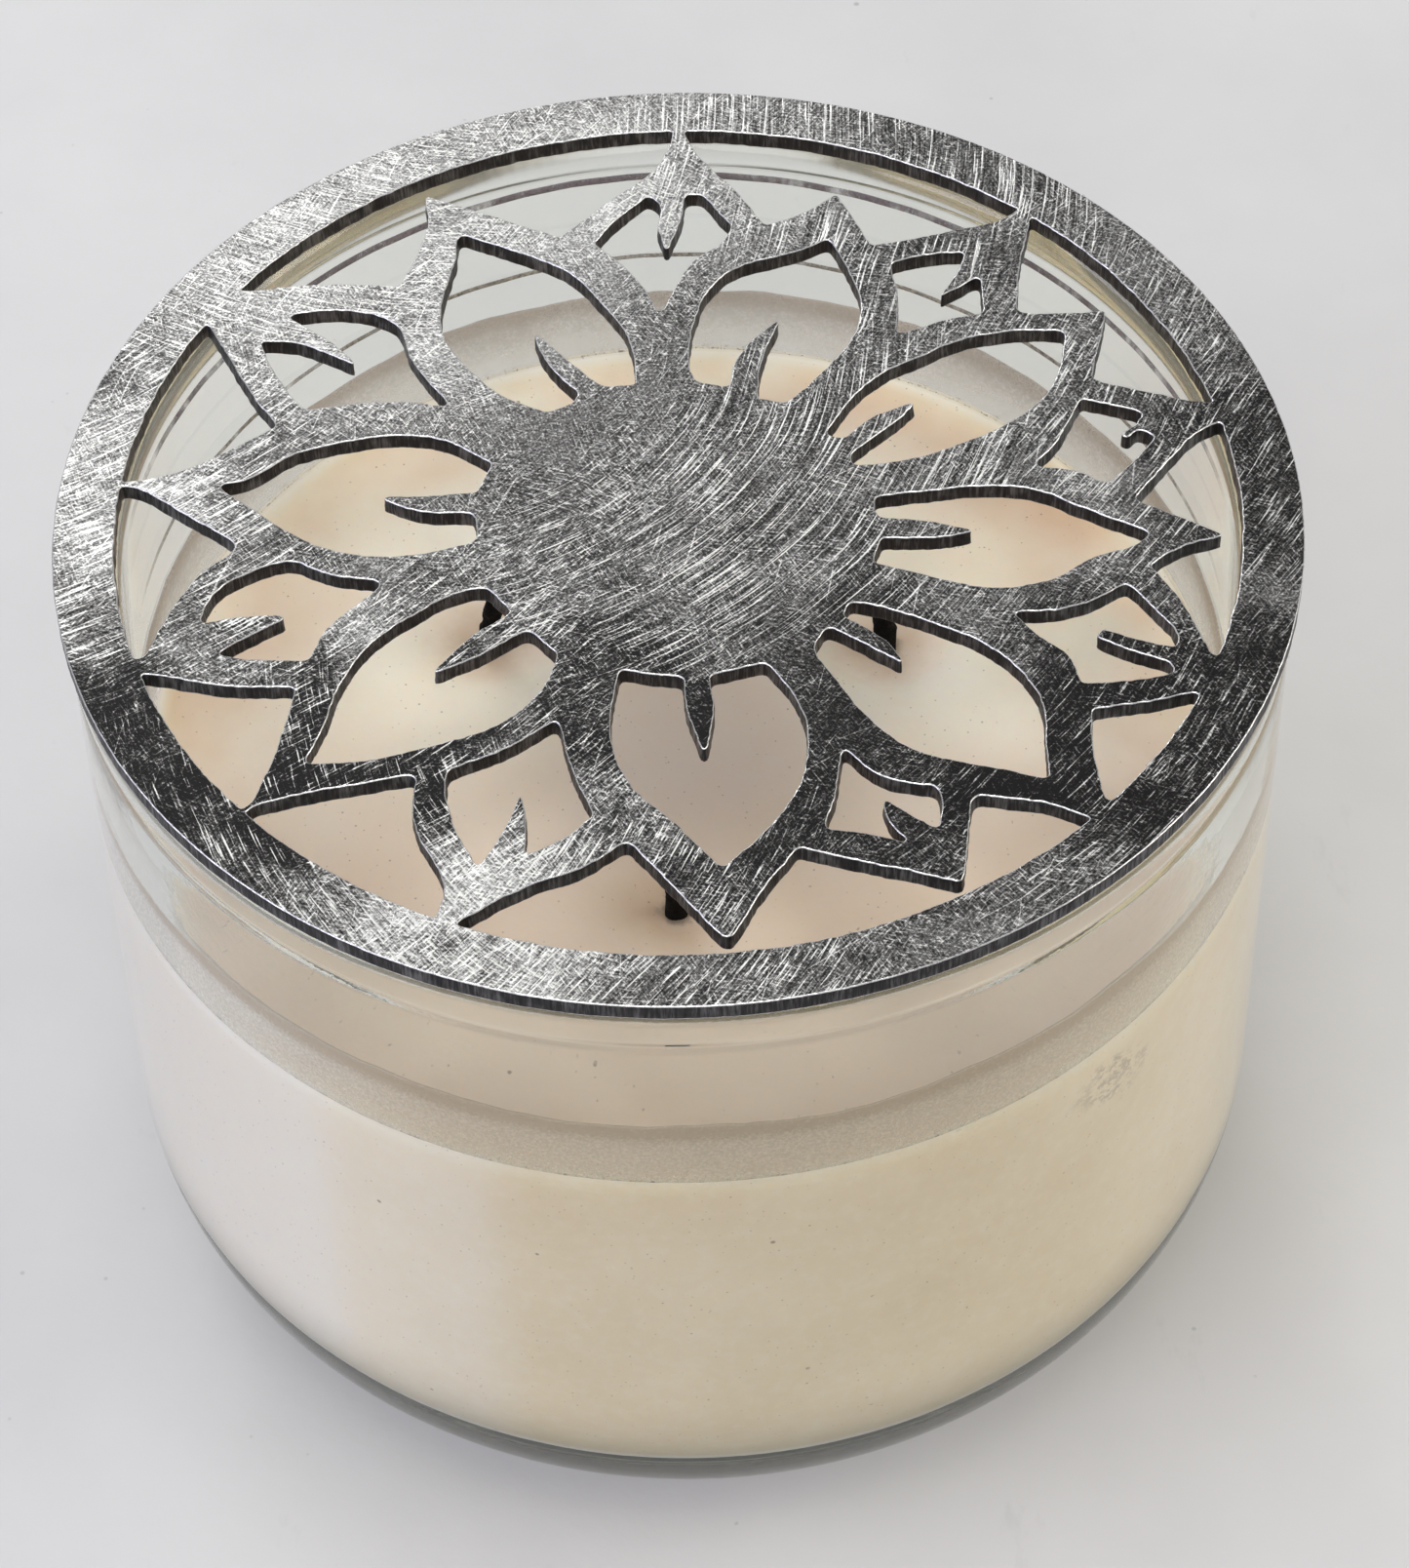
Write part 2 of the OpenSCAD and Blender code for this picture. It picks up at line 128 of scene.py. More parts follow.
def revolve(name, profile, material, shift=None, closed=False, centre=(0.0, 0.0)):
    """A solid turned from a profile of (radius, z). shift moves each point."""
    verts, rows = [], []
    for r, z in profile:
        if r < 1e-6:
            x, y, h = 0.0, 0.0, z
            if shift:
                x, y, h = shift(0.0, 0.0, z)
            rows.append([len(verts)])
            verts.append((x + centre[0], y + centre[1], h))
            continue
        row = []
        for k in range(ROUND_STEPS):
            a = 2 * math.pi * k / ROUND_STEPS
            x, y, h = r * math.cos(a), r * math.sin(a), z
            if shift:
                x, y, h = shift(x, y, z)
            row.append(len(verts))
            verts.append((x + centre[0], y + centre[1], h))
        rows.append(row)
    faces = []
    pairs = list(zip(rows, rows[1:]))
    if closed:
        pairs.append((rows[-1], rows[0]))
    for a, b in pairs:
        for k in range(ROUND_STEPS):
            n = (k + 1) % ROUND_STEPS
            if len(a) == 1 and len(b) == 1:
                continue
            if len(a) == 1:
                faces.append((a[0], b[k], b[n]))
            elif len(b) == 1:
                faces.append((a[k], a[n], b[0]))
            else:
                faces.append((a[k], a[n], b[n], b[k]))
    return mesh_object(name, verts, faces, material)


# ------------------------------------------------------------- materials
class Net:
    """A material's node tree, with short ways to add and link nodes."""

    def __init__(self, name):
        self.material = bpy.data.materials.new(name)
        self.material.use_nodes = True
        self.tree = self.material.node_tree
        self.tree.nodes.clear()
        self.output = self.tree.nodes.new("ShaderNodeOutputMaterial")
        coords = self.tree.nodes.new("ShaderNodeTexCoord")
        self.mm = self.vector("SCALE", coords.outputs["Object"], scale=1 / MM)

    def put(self, socket, value):
        if isinstance(value, bpy.types.NodeSocket):
            self.tree.links.new(value, socket)
        elif value is not None:
            socket.default_value = value

    def node(self, kind, inputs=None, **settings):
        made = self.tree.nodes.new("ShaderNode" + kind)
        for key, value in settings.items():
            setattr(made, key, value)
        for key, value in (inputs or {}).items():
            self.put(made.inputs[key], value)
        return made

    def math(self, operation, a, b=None, c=None, clamp=False):
        made = self.node("Math", operation=operation, use_clamp=clamp)
        for k, value in enumerate((a, b, c)):
            self.put(made.inputs[k], value)
        return made.outputs[0]

    def vector(self, operation, a, b=None, scale=None):
        made = self.node("VectorMath", operation=operation)
        self.put(made.inputs[0], a)
        self.put(made.inputs[1], b)
        if scale is not None:
            made.inputs["Scale"].default_value = scale
        if operation in ("LENGTH", "DISTANCE", "DOT_PRODUCT"):
            return made.outputs["Value"]
        return made.outputs["Vector"]

    def axes(self):
        """The point's X, Y and Z, in millimetres."""
        return self.node("SeparateXYZ", {"Vector": self.mm}).outputs

    def from_middle(self):
        """The point's distance from the jar's upright axis."""
        return self.vector("LENGTH", self.vector("MULTIPLY", self.mm, (1.0, 1.0, 0.0)))

    def mad(self, a, by, offset):
        """A vector times by, plus offset."""
        made = self.node("VectorMath", operation="MULTIPLY_ADD")
        self.put(made.inputs[0], a)
        self.put(made.inputs[1], by)
        self.put(made.inputs[2], offset)
        return made.outputs["Vector"]

    def noise(self, at, scale=1.0, detail=2.0, rough=0.5, distort=0.0):
        return self.node(
            "TexNoise",
            {
                "Vector": at,
                "Scale": scale,
                "Detail": detail,
                "Roughness": rough,
                "Distortion": distort,
            },
        ).outputs["Fac"]

    def band(self, value, start, end, low=0.0, high=1.0, smooth=False):
        """Value from start to end, mapped to low to high and held there."""
        made = self.node(
            "MapRange",
            {"Value": value, "From Min": start, "From Max": end, "To Min": low, "To Max": high},
            interpolation_type="SMOOTHSTEP" if smooth else "LINEAR",
        )
        return made.outputs["Result"]

    def mix(self, fac, a, b, how="MIX"):
        made = self.node("Mix", data_type="RGBA", blend_type=how, clamp_factor=True)
        self.put(made.inputs["Factor"], fac)
        for key, value in (("A", a), ("B", b)):
            socket = [s for s in made.inputs if s.name == key and s.type == "RGBA"][0]
            self.put(socket, value)
        return [s for s in made.outputs if s.type == "RGBA"][0]

    def ramp(self, value, stops):
        made = self.node("ValToRGB", {"Fac": value})
        elements = made.color_ramp.elements
        while len(elements) > 1:
            elements.remove(elements[-1])
        elements[0].position, elements[0].color = stops[0][0], stops[0][1]
        for place, colour in stops[1:]:
            elements.new(place).color = colour
        return made.outputs["Color"]

    def bump(self, height, distance, strength=1.0, normal=None):
        return self.node(
            "Bump",
            {"Height": height, "Distance": distance * MM, "Strength": strength, "Normal": normal},
        ).outputs["Normal"]

    def principled(self, **values):
        made = self.node("BsdfPrincipled")
        for key, value in values.items():
            self.put(made.inputs[key.replace("_", " ")], value)
        self.tree.links.new(made.outputs[0], self.output.inputs["Surface"])
        return made


def rgb(r, g, b):
    return (r, g, b, 1.0)


# Each pass of the grinder: the middle of its swing, the patch it crossed (its middle
# and reach), how deep its lines are, and how fine and how long they are
GRIND_PASSES = [
    ((-24.0, 23.5), (14.0, 3.0), 19.0, 1.0, 5.4, 0.09),
    ((-24.0, 23.5), (-4.0, -8.0), 16.0, 0.7, 6.4, 0.14),
    ((-80.0, 60.0), (-46.0, 2.0), 22.0, 0.9, 5.0, 0.20),
    ((-10.0, 90.0), (-34.0, 34.0), 22.0, 0.7, 5.6, 0.25),
    ((-62.0, 52.0), (20.0, 43.0), 24.0, 1.0, 4.6, 0.12),
    ((-52.0, 62.0), (46.0, 8.0), 26.0, 0.8, 5.4, 0.20),
    ((-42.0, 30.0), (34.0, -32.0), 22.0, 0.7, 4.8, 0.20),
    ((-62.0, -6.0), (-4.0, -47.0), 20.0, 1.0, 5.0, 0.24),
    ((24.0, -10.0), (-30.0, -36.0), 22.0, 1.0, 4.8, 0.22),
    ((-70.0, 40.0), (-20.0, -22.0), 20.0, 0.8, 5.4, 0.24),
]

# Finer scratches all over: turn in degrees, how fine and how long, and a seed
HATCHES = [(50, 5.6, 0.7, 11), (118, 6.0, 0.8, 23), (-16, 5.2, 0.7, 37)]
# Single deeper scratches: turn in degrees, and a seed
DEEP_SCRATCHES = [(58, 51), (33, 67), (75, 97)]

# Painted sheen and shade, for how the scratched steel catches the light in patches: middle, reach,
# and how much lighter the steel is painted there
STEEL_SHEEN_AND_SHADE = [
    ((-24.0, 34.0), 26.0, 0.20),
    ((-47.0, 4.0), 12.0, 0.20),
    ((4.0, 42.0), 15.0, 0.16),
    ((40.0, 28.0), 10.0, 0.06),
    ((34.0, -1.0), 8.0, 0.10),
    ((25.0, 13.0), 7.0, 0.12),
    ((-28.0, -14.0), 8.0, 0.12),
    ((-47.0, -24.0), 11.0, -0.30),
    ((-26.0, -25.0), 13.0, -0.34),
    ((-36.0, -33.0), 8.0, -0.14),
    ((-6.0, -20.0), 9.0, -0.22),
    ((-16.0, -44.0), 12.0, 0.26),
    ((12.0, -27.0), 17.0, -0.24),
    ((38.0, -26.0), 18.0, -0.26),
    ((50.0, 2.0), 14.0, -0.16),
]


def strokes(net, lines, soft, bright):
    """Scratches from noise: a soft light and dark, and thin bright burrs on top."""
    grey = net.math("MULTIPLY", net.math("SUBTRACT", lines, 0.5), soft)
    return net.math("MULTIPLY_ADD", net.band(lines, 0.60, 0.66), bright, grey)


def near_to(net, ragged, middle, reach):
    """1 in a patch of the plate, fading to 0 past its ragged edge."""
    gap = net.vector("DISTANCE", net.mm, (middle[0], middle[1], PLATE_TOP))
    edge = net.math("MULTIPLY_ADD", ragged, reach * 0.8, gap)
    return net.band(edge, reach * 0.9, reach * 1.6, 1.0, 0.0, True)


def arcs(net, wander, swing, arm, fine, long_, seed):
    """Scratches on arcs about the middle of a swing."""
    away = net.vector("SUBTRACT", net.mm, (swing[0], swing[1], 0.0))
    parts = net.node("SeparateXYZ", {"Vector": away})
    radius = net.vector("LENGTH", net.vector("MULTIPLY", away, (1.0, 1.0, 0.0)))
    turn = net.math("ARCTAN2", parts.outputs["Y"], parts.outputs["X"])
    across = net.math("MULTIPLY_ADD", wander, 3.0, radius)
    at = net.node(
        "CombineXYZ",
        {
            "X": net.math("MULTIPLY", across, fine),
            "Y": net.math("MULTIPLY", turn, arm * long_),
            "Z": float(seed),
        },
    ).outputs[0]
    return net.noise(at, 1.0, 2.0, 0.6)


def hatch(net, wander, turn, fine, long_, seed, detail=2.0):
    """Nearly straight scratches at a turn in degrees from X."""
    turned = net.node(
        "VectorRotate",
        {"Vector": net.mm, "Angle": math.radians(-turn)},
        rotation_type="Z_AXIS",
    ).outputs[0]
    parts = net.node("SeparateXYZ", {"Vector": turned})
    across = net.math("MULTIPLY_ADD", wander, 6.0, parts.outputs["Y"])
    at = net.node(
        "CombineXYZ",
        {
            "X": net.math("MULTIPLY", parts.outputs["X"], long_),
            "Y": net.math("MULTIPLY", across, fine),
            "Z": float(seed),
        },
    ).outputs[0]
    return net.noise(at, 1.0, detail, 0.65)


def ground_steel():
    """Hot-rolled steel gone over with a grinding disc: dense crossing scratches."""
    net = Net("ground_steel")
    wander = net.noise(net.mm, 0.05, 1.0)
    ragged = net.noise(net.mm, 0.14, 2.0)
    tone = net.math("MULTIPLY_ADD", ragged, 0.26, 0.21)
    for turn, fine, long_, seed in HATCHES:
        lines = hatch(net, wander, turn, fine, long_, seed)
        patch = net.noise(net.mad(net.mm, (0.16, 0.16, 0.0), (seed * 2.1, 0.0, 0.0)), 1.0, 2.0)
        patch = net.band(patch, 0.38, 0.62, 0.3, 1.0)
        tone = net.math("ADD", tone, net.math("MULTIPLY", strokes(net, lines, 0.85, 0.26), patch))
    for k, (swing, middle, reach, depth, fine, long_) in enumerate(GRIND_PASSES):
        lines = arcs(net, wander, swing, math.dist(swing, middle), fine, long_, k + 1)
        near = near_to(net, ragged, middle, reach)
        tone = net.math("MULTIPLY_ADD", strokes(net, lines, 1.2 * depth, 0.66 * depth), near, tone)
    # painted sheen and shade on the plate's patches
    for middle, reach, lift in STEEL_SHEEN_AND_SHADE:
        tone = net.math("MULTIPLY_ADD", near_to(net, ragged, middle, reach), lift, tone)
    # single deeper scratches, few and fine
    for turn, seed in DEEP_SCRATCHES:
        lines = hatch(net, wander, turn, 3.2, 0.10, seed, 1.0)
        tone = net.math("MULTIPLY_ADD", net.band(lines, 0.70, 0.74), 0.3, tone)
    grain = net.noise(net.mm, 4.2, 2.0, 0.7)
    tone = net.math("ADD", tone, strokes(net, grain, 0.95, 0.12))
    colour = net.ramp(
        tone,
        [
            (0.06, rgb(0.018, 0.017, 0.017)),
            (0.24, rgb(0.065, 0.063, 0.061)),
            (0.43, rgb(0.21, 0.206, 0.20)),
            (0.64, rgb(0.56, 0.555, 0.54)),
            (0.88, rgb(0.98, 0.97, 0.94)),
        ],
    )
    rough = net.band(tone, 0.1, 0.9, 0.48, 0.34)
    normal = net.bump(tone, 0.03, 0.6)
    net.principled(Base_Color=colour, Metallic=0.95, Roughness=rough, Normal=normal)
    return net.material


def cut_steel():
    """The plasma-cut walls: dark scale with fine drag lines across the thickness."""
    net = Net("cut_steel")
    lines = net.noise(net.mad(net.mm, (4.2, 4.2, 0.35), (0.0, 0.0, 0.0)), 1.0, 3.0, 0.6)
    cloud = net.noise(net.mm, 0.5, 2.0)
    tone = net.math("MULTIPLY_ADD", cloud, 0.5, net.math("MULTIPLY", lines, 0.8))
    colour = net.ramp(
        tone,
        [
            (0.35, rgb(0.010, 0.009, 0.010)),
            (0.64, rgb(0.030, 0.028, 0.029)),
            (0.90, rgb(0.15, 0.146, 0.15)),
        ],
    )
    rough = net.band(lines, 0.3, 0.7, 0.6, 0.35)
    normal = net.bump(lines, 0.12, 0.8)
    net.principled(Base_Color=colour, Metallic=0.75, Roughness=rough, Normal=normal)
    return net.material


def edge_steel():
    """The sharp arris that the grinder left bright."""
    net = Net("edge_steel")
    lines = net.noise(net.mm, 3.0, 3.0, 0.6)
    colour = net.ramp(lines, [(0.3, rgb(0.34, 0.335, 0.34)), (0.62, rgb(0.96, 0.955, 0.96))])
    rough = net.band(lines, 0.3, 0.7, 0.42, 0.2)
    normal = net.bump(lines, 0.04, 0.6)
    net.principled(Base_Color=colour, Metallic=1.0, Roughness=rough, Normal=normal)
    return net.material


def tinned_steel():
    """The wick discs: bright tinned sheet with a faint crystal mottle."""
    net = Net("tinned_steel")
    cells = net.noise(net.mm, 0.9, 3.0, 0.6, 0.8)
    lines = net.noise(net.mad(net.mm, (3.0, 0.4, 1.0), (0.0, 0.0, 0.0)), 1.0, 3.0)
    colour = net.ramp(cells, [(0.3, rgb(0.5, 0.5, 0.49)), (0.7, rgb(0.74, 0.73, 0.71))])
    rough = net.band(lines, 0.3, 0.7, 0.25, 0.42)
    normal = net.bump(lines, 0.02, 0.5)
    net.principled(Base_Color=colour, Metallic=1.0, Roughness=rough, Normal=normal)
    return net.material


def clear_glass():
    """Pressed clear glass; shadow and diffuse rays pass, so what is behind is lit."""
    net = Net("clear_glass")
    wave = net.noise(net.mad(net.mm, (0.05, 0.05, 0.03), (3.0, 1.0, 0.0)), 1.0, 2.0)
    # the pebbled skin of old wax on the inside of the wall, above the film
    height = net.axes()["Z"]
    inside = net.band(net.from_middle(), CAVITY_RADIUS + 0.8, CAVITY_RADIUS + 0.4)
    above = net.band(height, FILM_TOP - 1.0, FILM_TOP + 0.5)
    skin = net.math("MULTIPLY", inside, above)
    skin = net.math("MULTIPLY", skin, net.band(height, RIM_Z - 4.5, RIM_Z - 7.0))
    pebble = net.noise(net.mm, 0.85, 2.0, 0.55)
    both = net.math("MULTIPLY_ADD", pebble, net.math("MULTIPLY", skin, 0.06), wave)
    normal = net.bump(both, 0.35, 0.3)
    smear = net.noise(net.mm, 0.12, 4.0, 0.7)
    rough = net.math("MULTIPLY", skin, net.band(smear, 0.45, 0.8, 0.0, 0.03))
    # the ring that the jar stands on, and the rim, are a little rough
    standing = net.band(height, 0.5, 0.1)
    rough = net.math("MULTIPLY_ADD", standing, 0.2, rough)
    rim = net.band(height, RIM_Z - 3.5, RIM_Z - 2.0)
    rough = net.math("MULTIPLY_ADD", rim, 0.12, rough)
    glass = net.principled(
        Base_Color=rgb(0.95, 0.978, 0.952),
        Roughness=rough,
        IOR=1.5,
        Transmission_Weight=1.0,
        Normal=normal,
    )
    # the thick heel bends light away, so it throws a darker shadow than the wall
    path = net.node("LightPath")
    heel = net.band(height, 10.0, 4.0, 0.0, 1.0, True)
    heel = net.math("MULTIPLY", heel, path.outputs["Is Shadow Ray"])
    shade = net.mix(heel, rgb(0.91, 0.905, 0.885), rgb(0.28, 0.28, 0.42))
    clear = net.node("BsdfTransparent", {"Color": shade})
    passing = net.math("MAXIMUM", path.outputs["Is Shadow Ray"], path.outputs["Is Diffuse Ray"])
    mixed = net.node("MixShader", {0: passing, 1: glass.outputs[0], 2: clear.outputs[0]})
    net.tree.links.new(mixed.outputs[0], net.output.inputs["Surface"])
    # the green of long paths through the glass, at the rim and in the heel
    green = net.node("VolumeAbsorption", {"Color": rgb(0.50, 0.53, 0.22), "Density": 9.0})
    net.tree.links.new(green.outputs[0], net.output.inputs["Volume"])
    return net.material


def cream_wax():
    """Cream container wax: cloudy, a little see-through, and tan in places."""
    net = Net("cream_wax")
    place = net.axes()
    height = place["Z"]
    out = net.from_middle()
    cloud = net.noise(net.mm, 0.045, 4.0, 0.6)
    fine = net.noise(net.mm, 0.7, 4.0, 0.65)
    base = net.mix(net.band(cloud, 0.35, 0.65), rgb(0.70, 0.59, 0.435), rgb(0.75, 0.65, 0.505))
    base = net.mix(net.band(fine, 0.45, 0.75, 0.0, 0.3), base, rgb(0.80, 0.75, 0.66))
    # painted reflection: paler towards the left of the front, in two steps, for the sheen of light
    # on the glass there
    pale = net.math(
        "ADD",
        net.band(place["X"], -13.0, -18.5, 0.0, 0.36, True),
        net.band(place["X"], -26.0, -31.0, 0.0, 0.40, True),
    )
    pale = net.math("MULTIPLY", pale, net.band(place["Y"], 25.0, -5.0, 0.0, 1.0, True))
    base = net.mix(pale, base, rgb(0.80, 0.765, 0.755))
    # a dark smudge on the right of the front
    smudge = net.vector("DISTANCE", net.mm, (32.5, -33.0, 47.0))
    smudge = net.math("MULTIPLY_ADD", net.noise(net.mm, 0.35, 3.0, 0.6), -7.0, smudge)
    dots = net.noise(net.mm, 1.3, 3.0, 0.75)
    smudge = net.math("MULTIPLY", net.band(smudge, -1.6, 0.6, 0.6, 0.0), net.band(dots, 0.47, 0.56))
    base = net.mix(smudge, base, rgb(0.37, 0.31, 0.235))
    # painted highlight: a pale line round the foot, for the light that the glass heel gathers there
    painted_foot_highlight = net.band(height, GLASS_FLOOR + 3.4, GLASS_FLOOR + 2.0)
    base = net.mix(painted_foot_highlight, base, rgb(0.97, 0.965, 0.95))
    # painted light: the top is painted lighter and warmer than the wax behind the glass, for the
    # light that reaches it under the plate
    on_top = net.math(
        "MULTIPLY",
        net.band(height, WAX_LEVEL - 1.4, WAX_LEVEL - 0.7),
        net.band(out, CAVITY_RADIUS - 0.12, CAVITY_RADIUS - 0.6),
    )
    top = net.mix(net.band(cloud, 0.38, 0.62), rgb(0.96, 0.845, 0.69), rgb(0.98, 0.90, 0.785))
    base = net.mix(on_top, base, top)
    flat_at = net.mad(net.mm, (1.0, 1.0, 0.0), (7.0, 2.0, 0.0))
    brown = net.noise(flat_at, 0.055, 3.0, 0.55)
    near_wall = net.math(
        "MULTIPLY",
        net.band(out, 26.0, 43.0, 0.1, 1.0, True),
        net.band(out, CAVITY_RADIUS - 1.6, CAVITY_RADIUS - 0.3, 1.0, 0.0),
    )
    near_wall = net.math("MULTIPLY", on_top, near_wall)
    brown = net.math("MULTIPLY", net.band(brown, 0.38, 0.68), near_wall)
    base = net.mix(net.math("MULTIPLY", brown, 0.7), base, rgb(0.74, 0.53, 0.34))
    # painted shade: browner at the front of the top, under the plate's ring, and a faint painted
    # shadow of the plate's middle in the middle of the top
    front = net.math("MULTIPLY", on_top, net.band(place["Y"], 4.0, -22.0, 0.0, 0.8, True))
    base = net.mix(front, base, rgb(0.72, 0.585, 0.455))
    stain_and_shadow = net.vector("DISTANCE", net.mm, (1.0, -3.0, WAX_LEVEL))
    stain_and_shadow = net.math("MULTIPLY_ADD", cloud, 6.0, stain_and_shadow)
    stain_and_shadow = net.math("MULTIPLY", on_top, net.band(stain_and_shadow, 5.0, 20.0, 0.42, 0.0, True))
    base = net.mix(stain_and_shadow, base, rgb(0.63, 0.51, 0.44))
    # stained and sooty round each wick's foot
    for i in range(WICK_COUNT):
        gap = net.vector("DISTANCE", net.mm, (*wick_foot(i), WAX_LEVEL))
        gap = net.math("MULTIPLY_ADD", fine, 2.4, gap)
        stain_and_shadow = net.math("MULTIPLY", on_top, net.band(gap, 2.4, 8.0, 0.55, 0.0, True))
        base = net.mix(stain_and_shadow, base, rgb(0.62, 0.42, 0.24))
        soot = net.math("MULTIPLY", on_top, net.band(gap, 2.1, 3.4, 0.9, 0.0, True))
        base = net.mix(soot, base, rgb(0.05, 0.035, 0.025))
    # soot specks, large and small
    for scale, reach, share in ((0.22, 0.055, 0.7), (0.7, 0.085, 0.5), (1.5, 0.16, 0.4)):
        cells = net.node("TexVoronoi", {"Vector": net.mm, "Scale": scale, "Randomness": 1.0})
        size = net.noise(net.mm, scale * 1.4, 1.0)
        speck = net.band(cells.outputs["Distance"], reach * 0.6, reach, 1.0, 0.0)
        speck = net.math("MULTIPLY", speck, net.band(size, 0.53, 0.58))
        base = net.mix(net.math("MULTIPLY", speck, share), base, rgb(0.15, 0.11, 0.08))
    bumps = net.math("MULTIPLY_ADD", fine, 0.35, cloud)
    normal = net.bump(bumps, 0.5, 0.35)
    rough = net.band(fine, 0.3, 0.7, 0.42, 0.6)
    net.principled(
        Base_Color=base,
        Roughness=rough,
        IOR=1.44,
        Subsurface_Weight=0.75,
        Subsurface_Radius=(1.0, 0.78, 0.55),
        Subsurface_Scale=0.008,
        Normal=normal,
    )
    return net.material


def wax_film():
    """The film of old wax left on the glass: grey-brown at its crest, cream below."""
    net = Net("wax_film")
    place = net.axes()
    height = place["Z"]
    fine = net.noise(net.mm, 3.4, 4.0, 0.7)
    cloud = net.noise(net.mm, 0.12, 3.0, 0.6)
    patchy = net.noise(net.mad(net.mm, (0.09, 0.09, 0.3), (2.0, 7.0, 0.0)), 1.0, 3.0, 0.6)
    uneven = net.math("MULTIPLY_ADD", patchy, 3.0, height)
    upper = net.band(uneven, WAX_LEVEL + 2.6, WAX_LEVEL + 8.6, 0.0, 1.0, True)
    colour = net.mix(upper, rgb(0.78, 0.735, 0.66), rgb(0.50, 0.46, 0.415))
    grains = net.noise(net.mm, 1.7, 4.0, 0.75)
    colour = net.mix(net.band(grains, 0.46, 0.66, 0.0, 0.5), colour, rgb(0.88, 0.85, 0.79))
    front = net.band(place["Y"], 12.0, -12.0, 0.0, 1.0, True)
    colour = net.mix(net.math("MULTIPLY", front, 0.72), colour, rgb(0.60, 0.485, 0.35))
    # painted reflection: the film is paler grey on the left of the front, as on the wax below it
    left = net.math("MULTIPLY", front, net.band(place["X"], -18.0, -38.0, 0.0, 0.7, True))
    colour = net.mix(left, colour, rgb(0.78, 0.77, 0.76))
    crest = net.band(height, FILM_TOP - 3.0, FILM_TOP - 1.3, 0.0, 1.0, True)
    colour = net.mix(net.math("MULTIPLY", crest, 0.75), colour, rgb(0.40, 0.30, 0.20))
    dots = net.noise(net.mad(net.mm, (1.7, 1.7, 1.2), (5.0, 0.0, 0.0)), 1.0, 3.0, 0.8)
    foot = net.band(height, WAX_LEVEL + 0.8, WAX_LEVEL + 0.25, 0.0, 1.0, True)
    dark = net.math("MULTIPLY", foot, net.band(dots, 0.56, 0.62))
    colour = net.mix(dark, colour, rgb(0.14, 0.11, 0.08))
    pale = net.math("MULTIPLY_ADD", front, 0.34, 0.04)
    pale = net.math("MULTIPLY", net.band(fine, 0.42, 0.68), pale)
    body = net.math("MULTIPLY_ADD", upper, 0.24, net.band(cloud, 0.3, 0.7, 0.18, 0.30))
    body = net.math("MULTIPLY_ADD", front, 0.12, body)
    alpha = net.math("ADD", pale, body)
    crest = net.math("MULTIPLY", crest, net.math("MULTIPLY_ADD", front, 0.35, 0.45))
    alpha = net.math("MAXIMUM", alpha, crest)
    alpha = net.math("MAXIMUM", alpha, dark, clamp=True)
    normal = net.bump(fine, 0.06, 0.5)
    net.principled(Base_Color=colour, Roughness=0.45, Alpha=alpha, Normal=normal)
    return net.material


def old_residue():
    """Thin broken lines of soot and wax on the back of the glass; the upper is purplish."""
    net = Net("old_residue")
    along = net.noise(net.mad(net.mm, (0.22, 0.22, 0.1), (1.0, 5.0, 0.0)), 1.0, 4.0, 0.7)
    fine = net.noise(net.mm, 2.4, 3.0, 0.7)
    colour = net.mix(net.band(fine, 0.4, 0.65), rgb(0.20, 0.18, 0.15), rgb(0.46, 0.43, 0.37))
    place = net.axes()
    upper_line = net.band(place["Z"], 69.0, 71.0, 0.0, 0.75)
    colour = net.mix(upper_line, colour, rgb(0.13, 0.10, 0.135))
    back = net.band(place["Y"], 2.0, 22.0, 0.0, 1.0, True)
    alpha = net.band(along, 0.36, 0.54, 0.22, 0.85)
    alpha = net.math("MULTIPLY", alpha, net.band(fine, 0.3, 0.5, 0.6, 1.0))
    alpha = net.math("MULTIPLY", alpha, back)
    normal = net.bump(fine, 0.08, 0.5)
    net.principled(Base_Color=colour, Roughness=0.6, Alpha=alpha, Normal=normal)
    return net.material


def charred_wick():
    """Burnt cotton: dead black and crumbly above the wax, pale cotton inside it."""
    net = Net("charred_wick")
    height = net.axes()["Z"]
    fine = net.noise(net.mm, 3.0, 4.0, 0.7)
    colour = net.ramp(
        fine,
        [
            (0.3, rgb(0.0015, 0.0013, 0.0012)),
            (0.62, rgb(0.006, 0.005, 0.004)),
            (0.8, rgb(0.045, 0.020, 0.011)),
        ],
    )
    inside = net.band(height, WAX_LEVEL - 1.2, WAX_LEVEL - 2.2)
    colour = net.mix(inside, colour, rgb(0.74, 0.68, 0.55))
    rough = net.band(fine, 0.3, 0.7, 0.98, 0.82)
    normal = net.bump(fine, 0.25, 0.9)
    net.principled(
        Base_Color=colour, Roughness=rough, Specular_IOR_Level=0.12, Normal=normal
    )
    return net.material


def sticker_foam():
    """The adhesive foam dots under the discs."""
    net = Net("sticker_foam")
    cells = net.node("TexVoronoi", {"Vector": net.mm, "Scale": 3.0}).outputs["Distance"]
    cloud = net.noise(net.mm, 0.3, 2.0)
    colour = net.mix(net.band(cloud, 0.35, 0.65), rgb(0.78, 0.76, 0.71), rgb(0.86, 0.85, 0.81))
    colour = net.mix(net.band(cells, 0.1, 0.6, 0.35, 0.0), colour, rgb(0.6, 0.58, 0.53))
    normal = net.bump(cells, 0.12, 0.6)
    net.principled(Base_Color=colour, Roughness=0.8, Normal=normal)
    return net.material


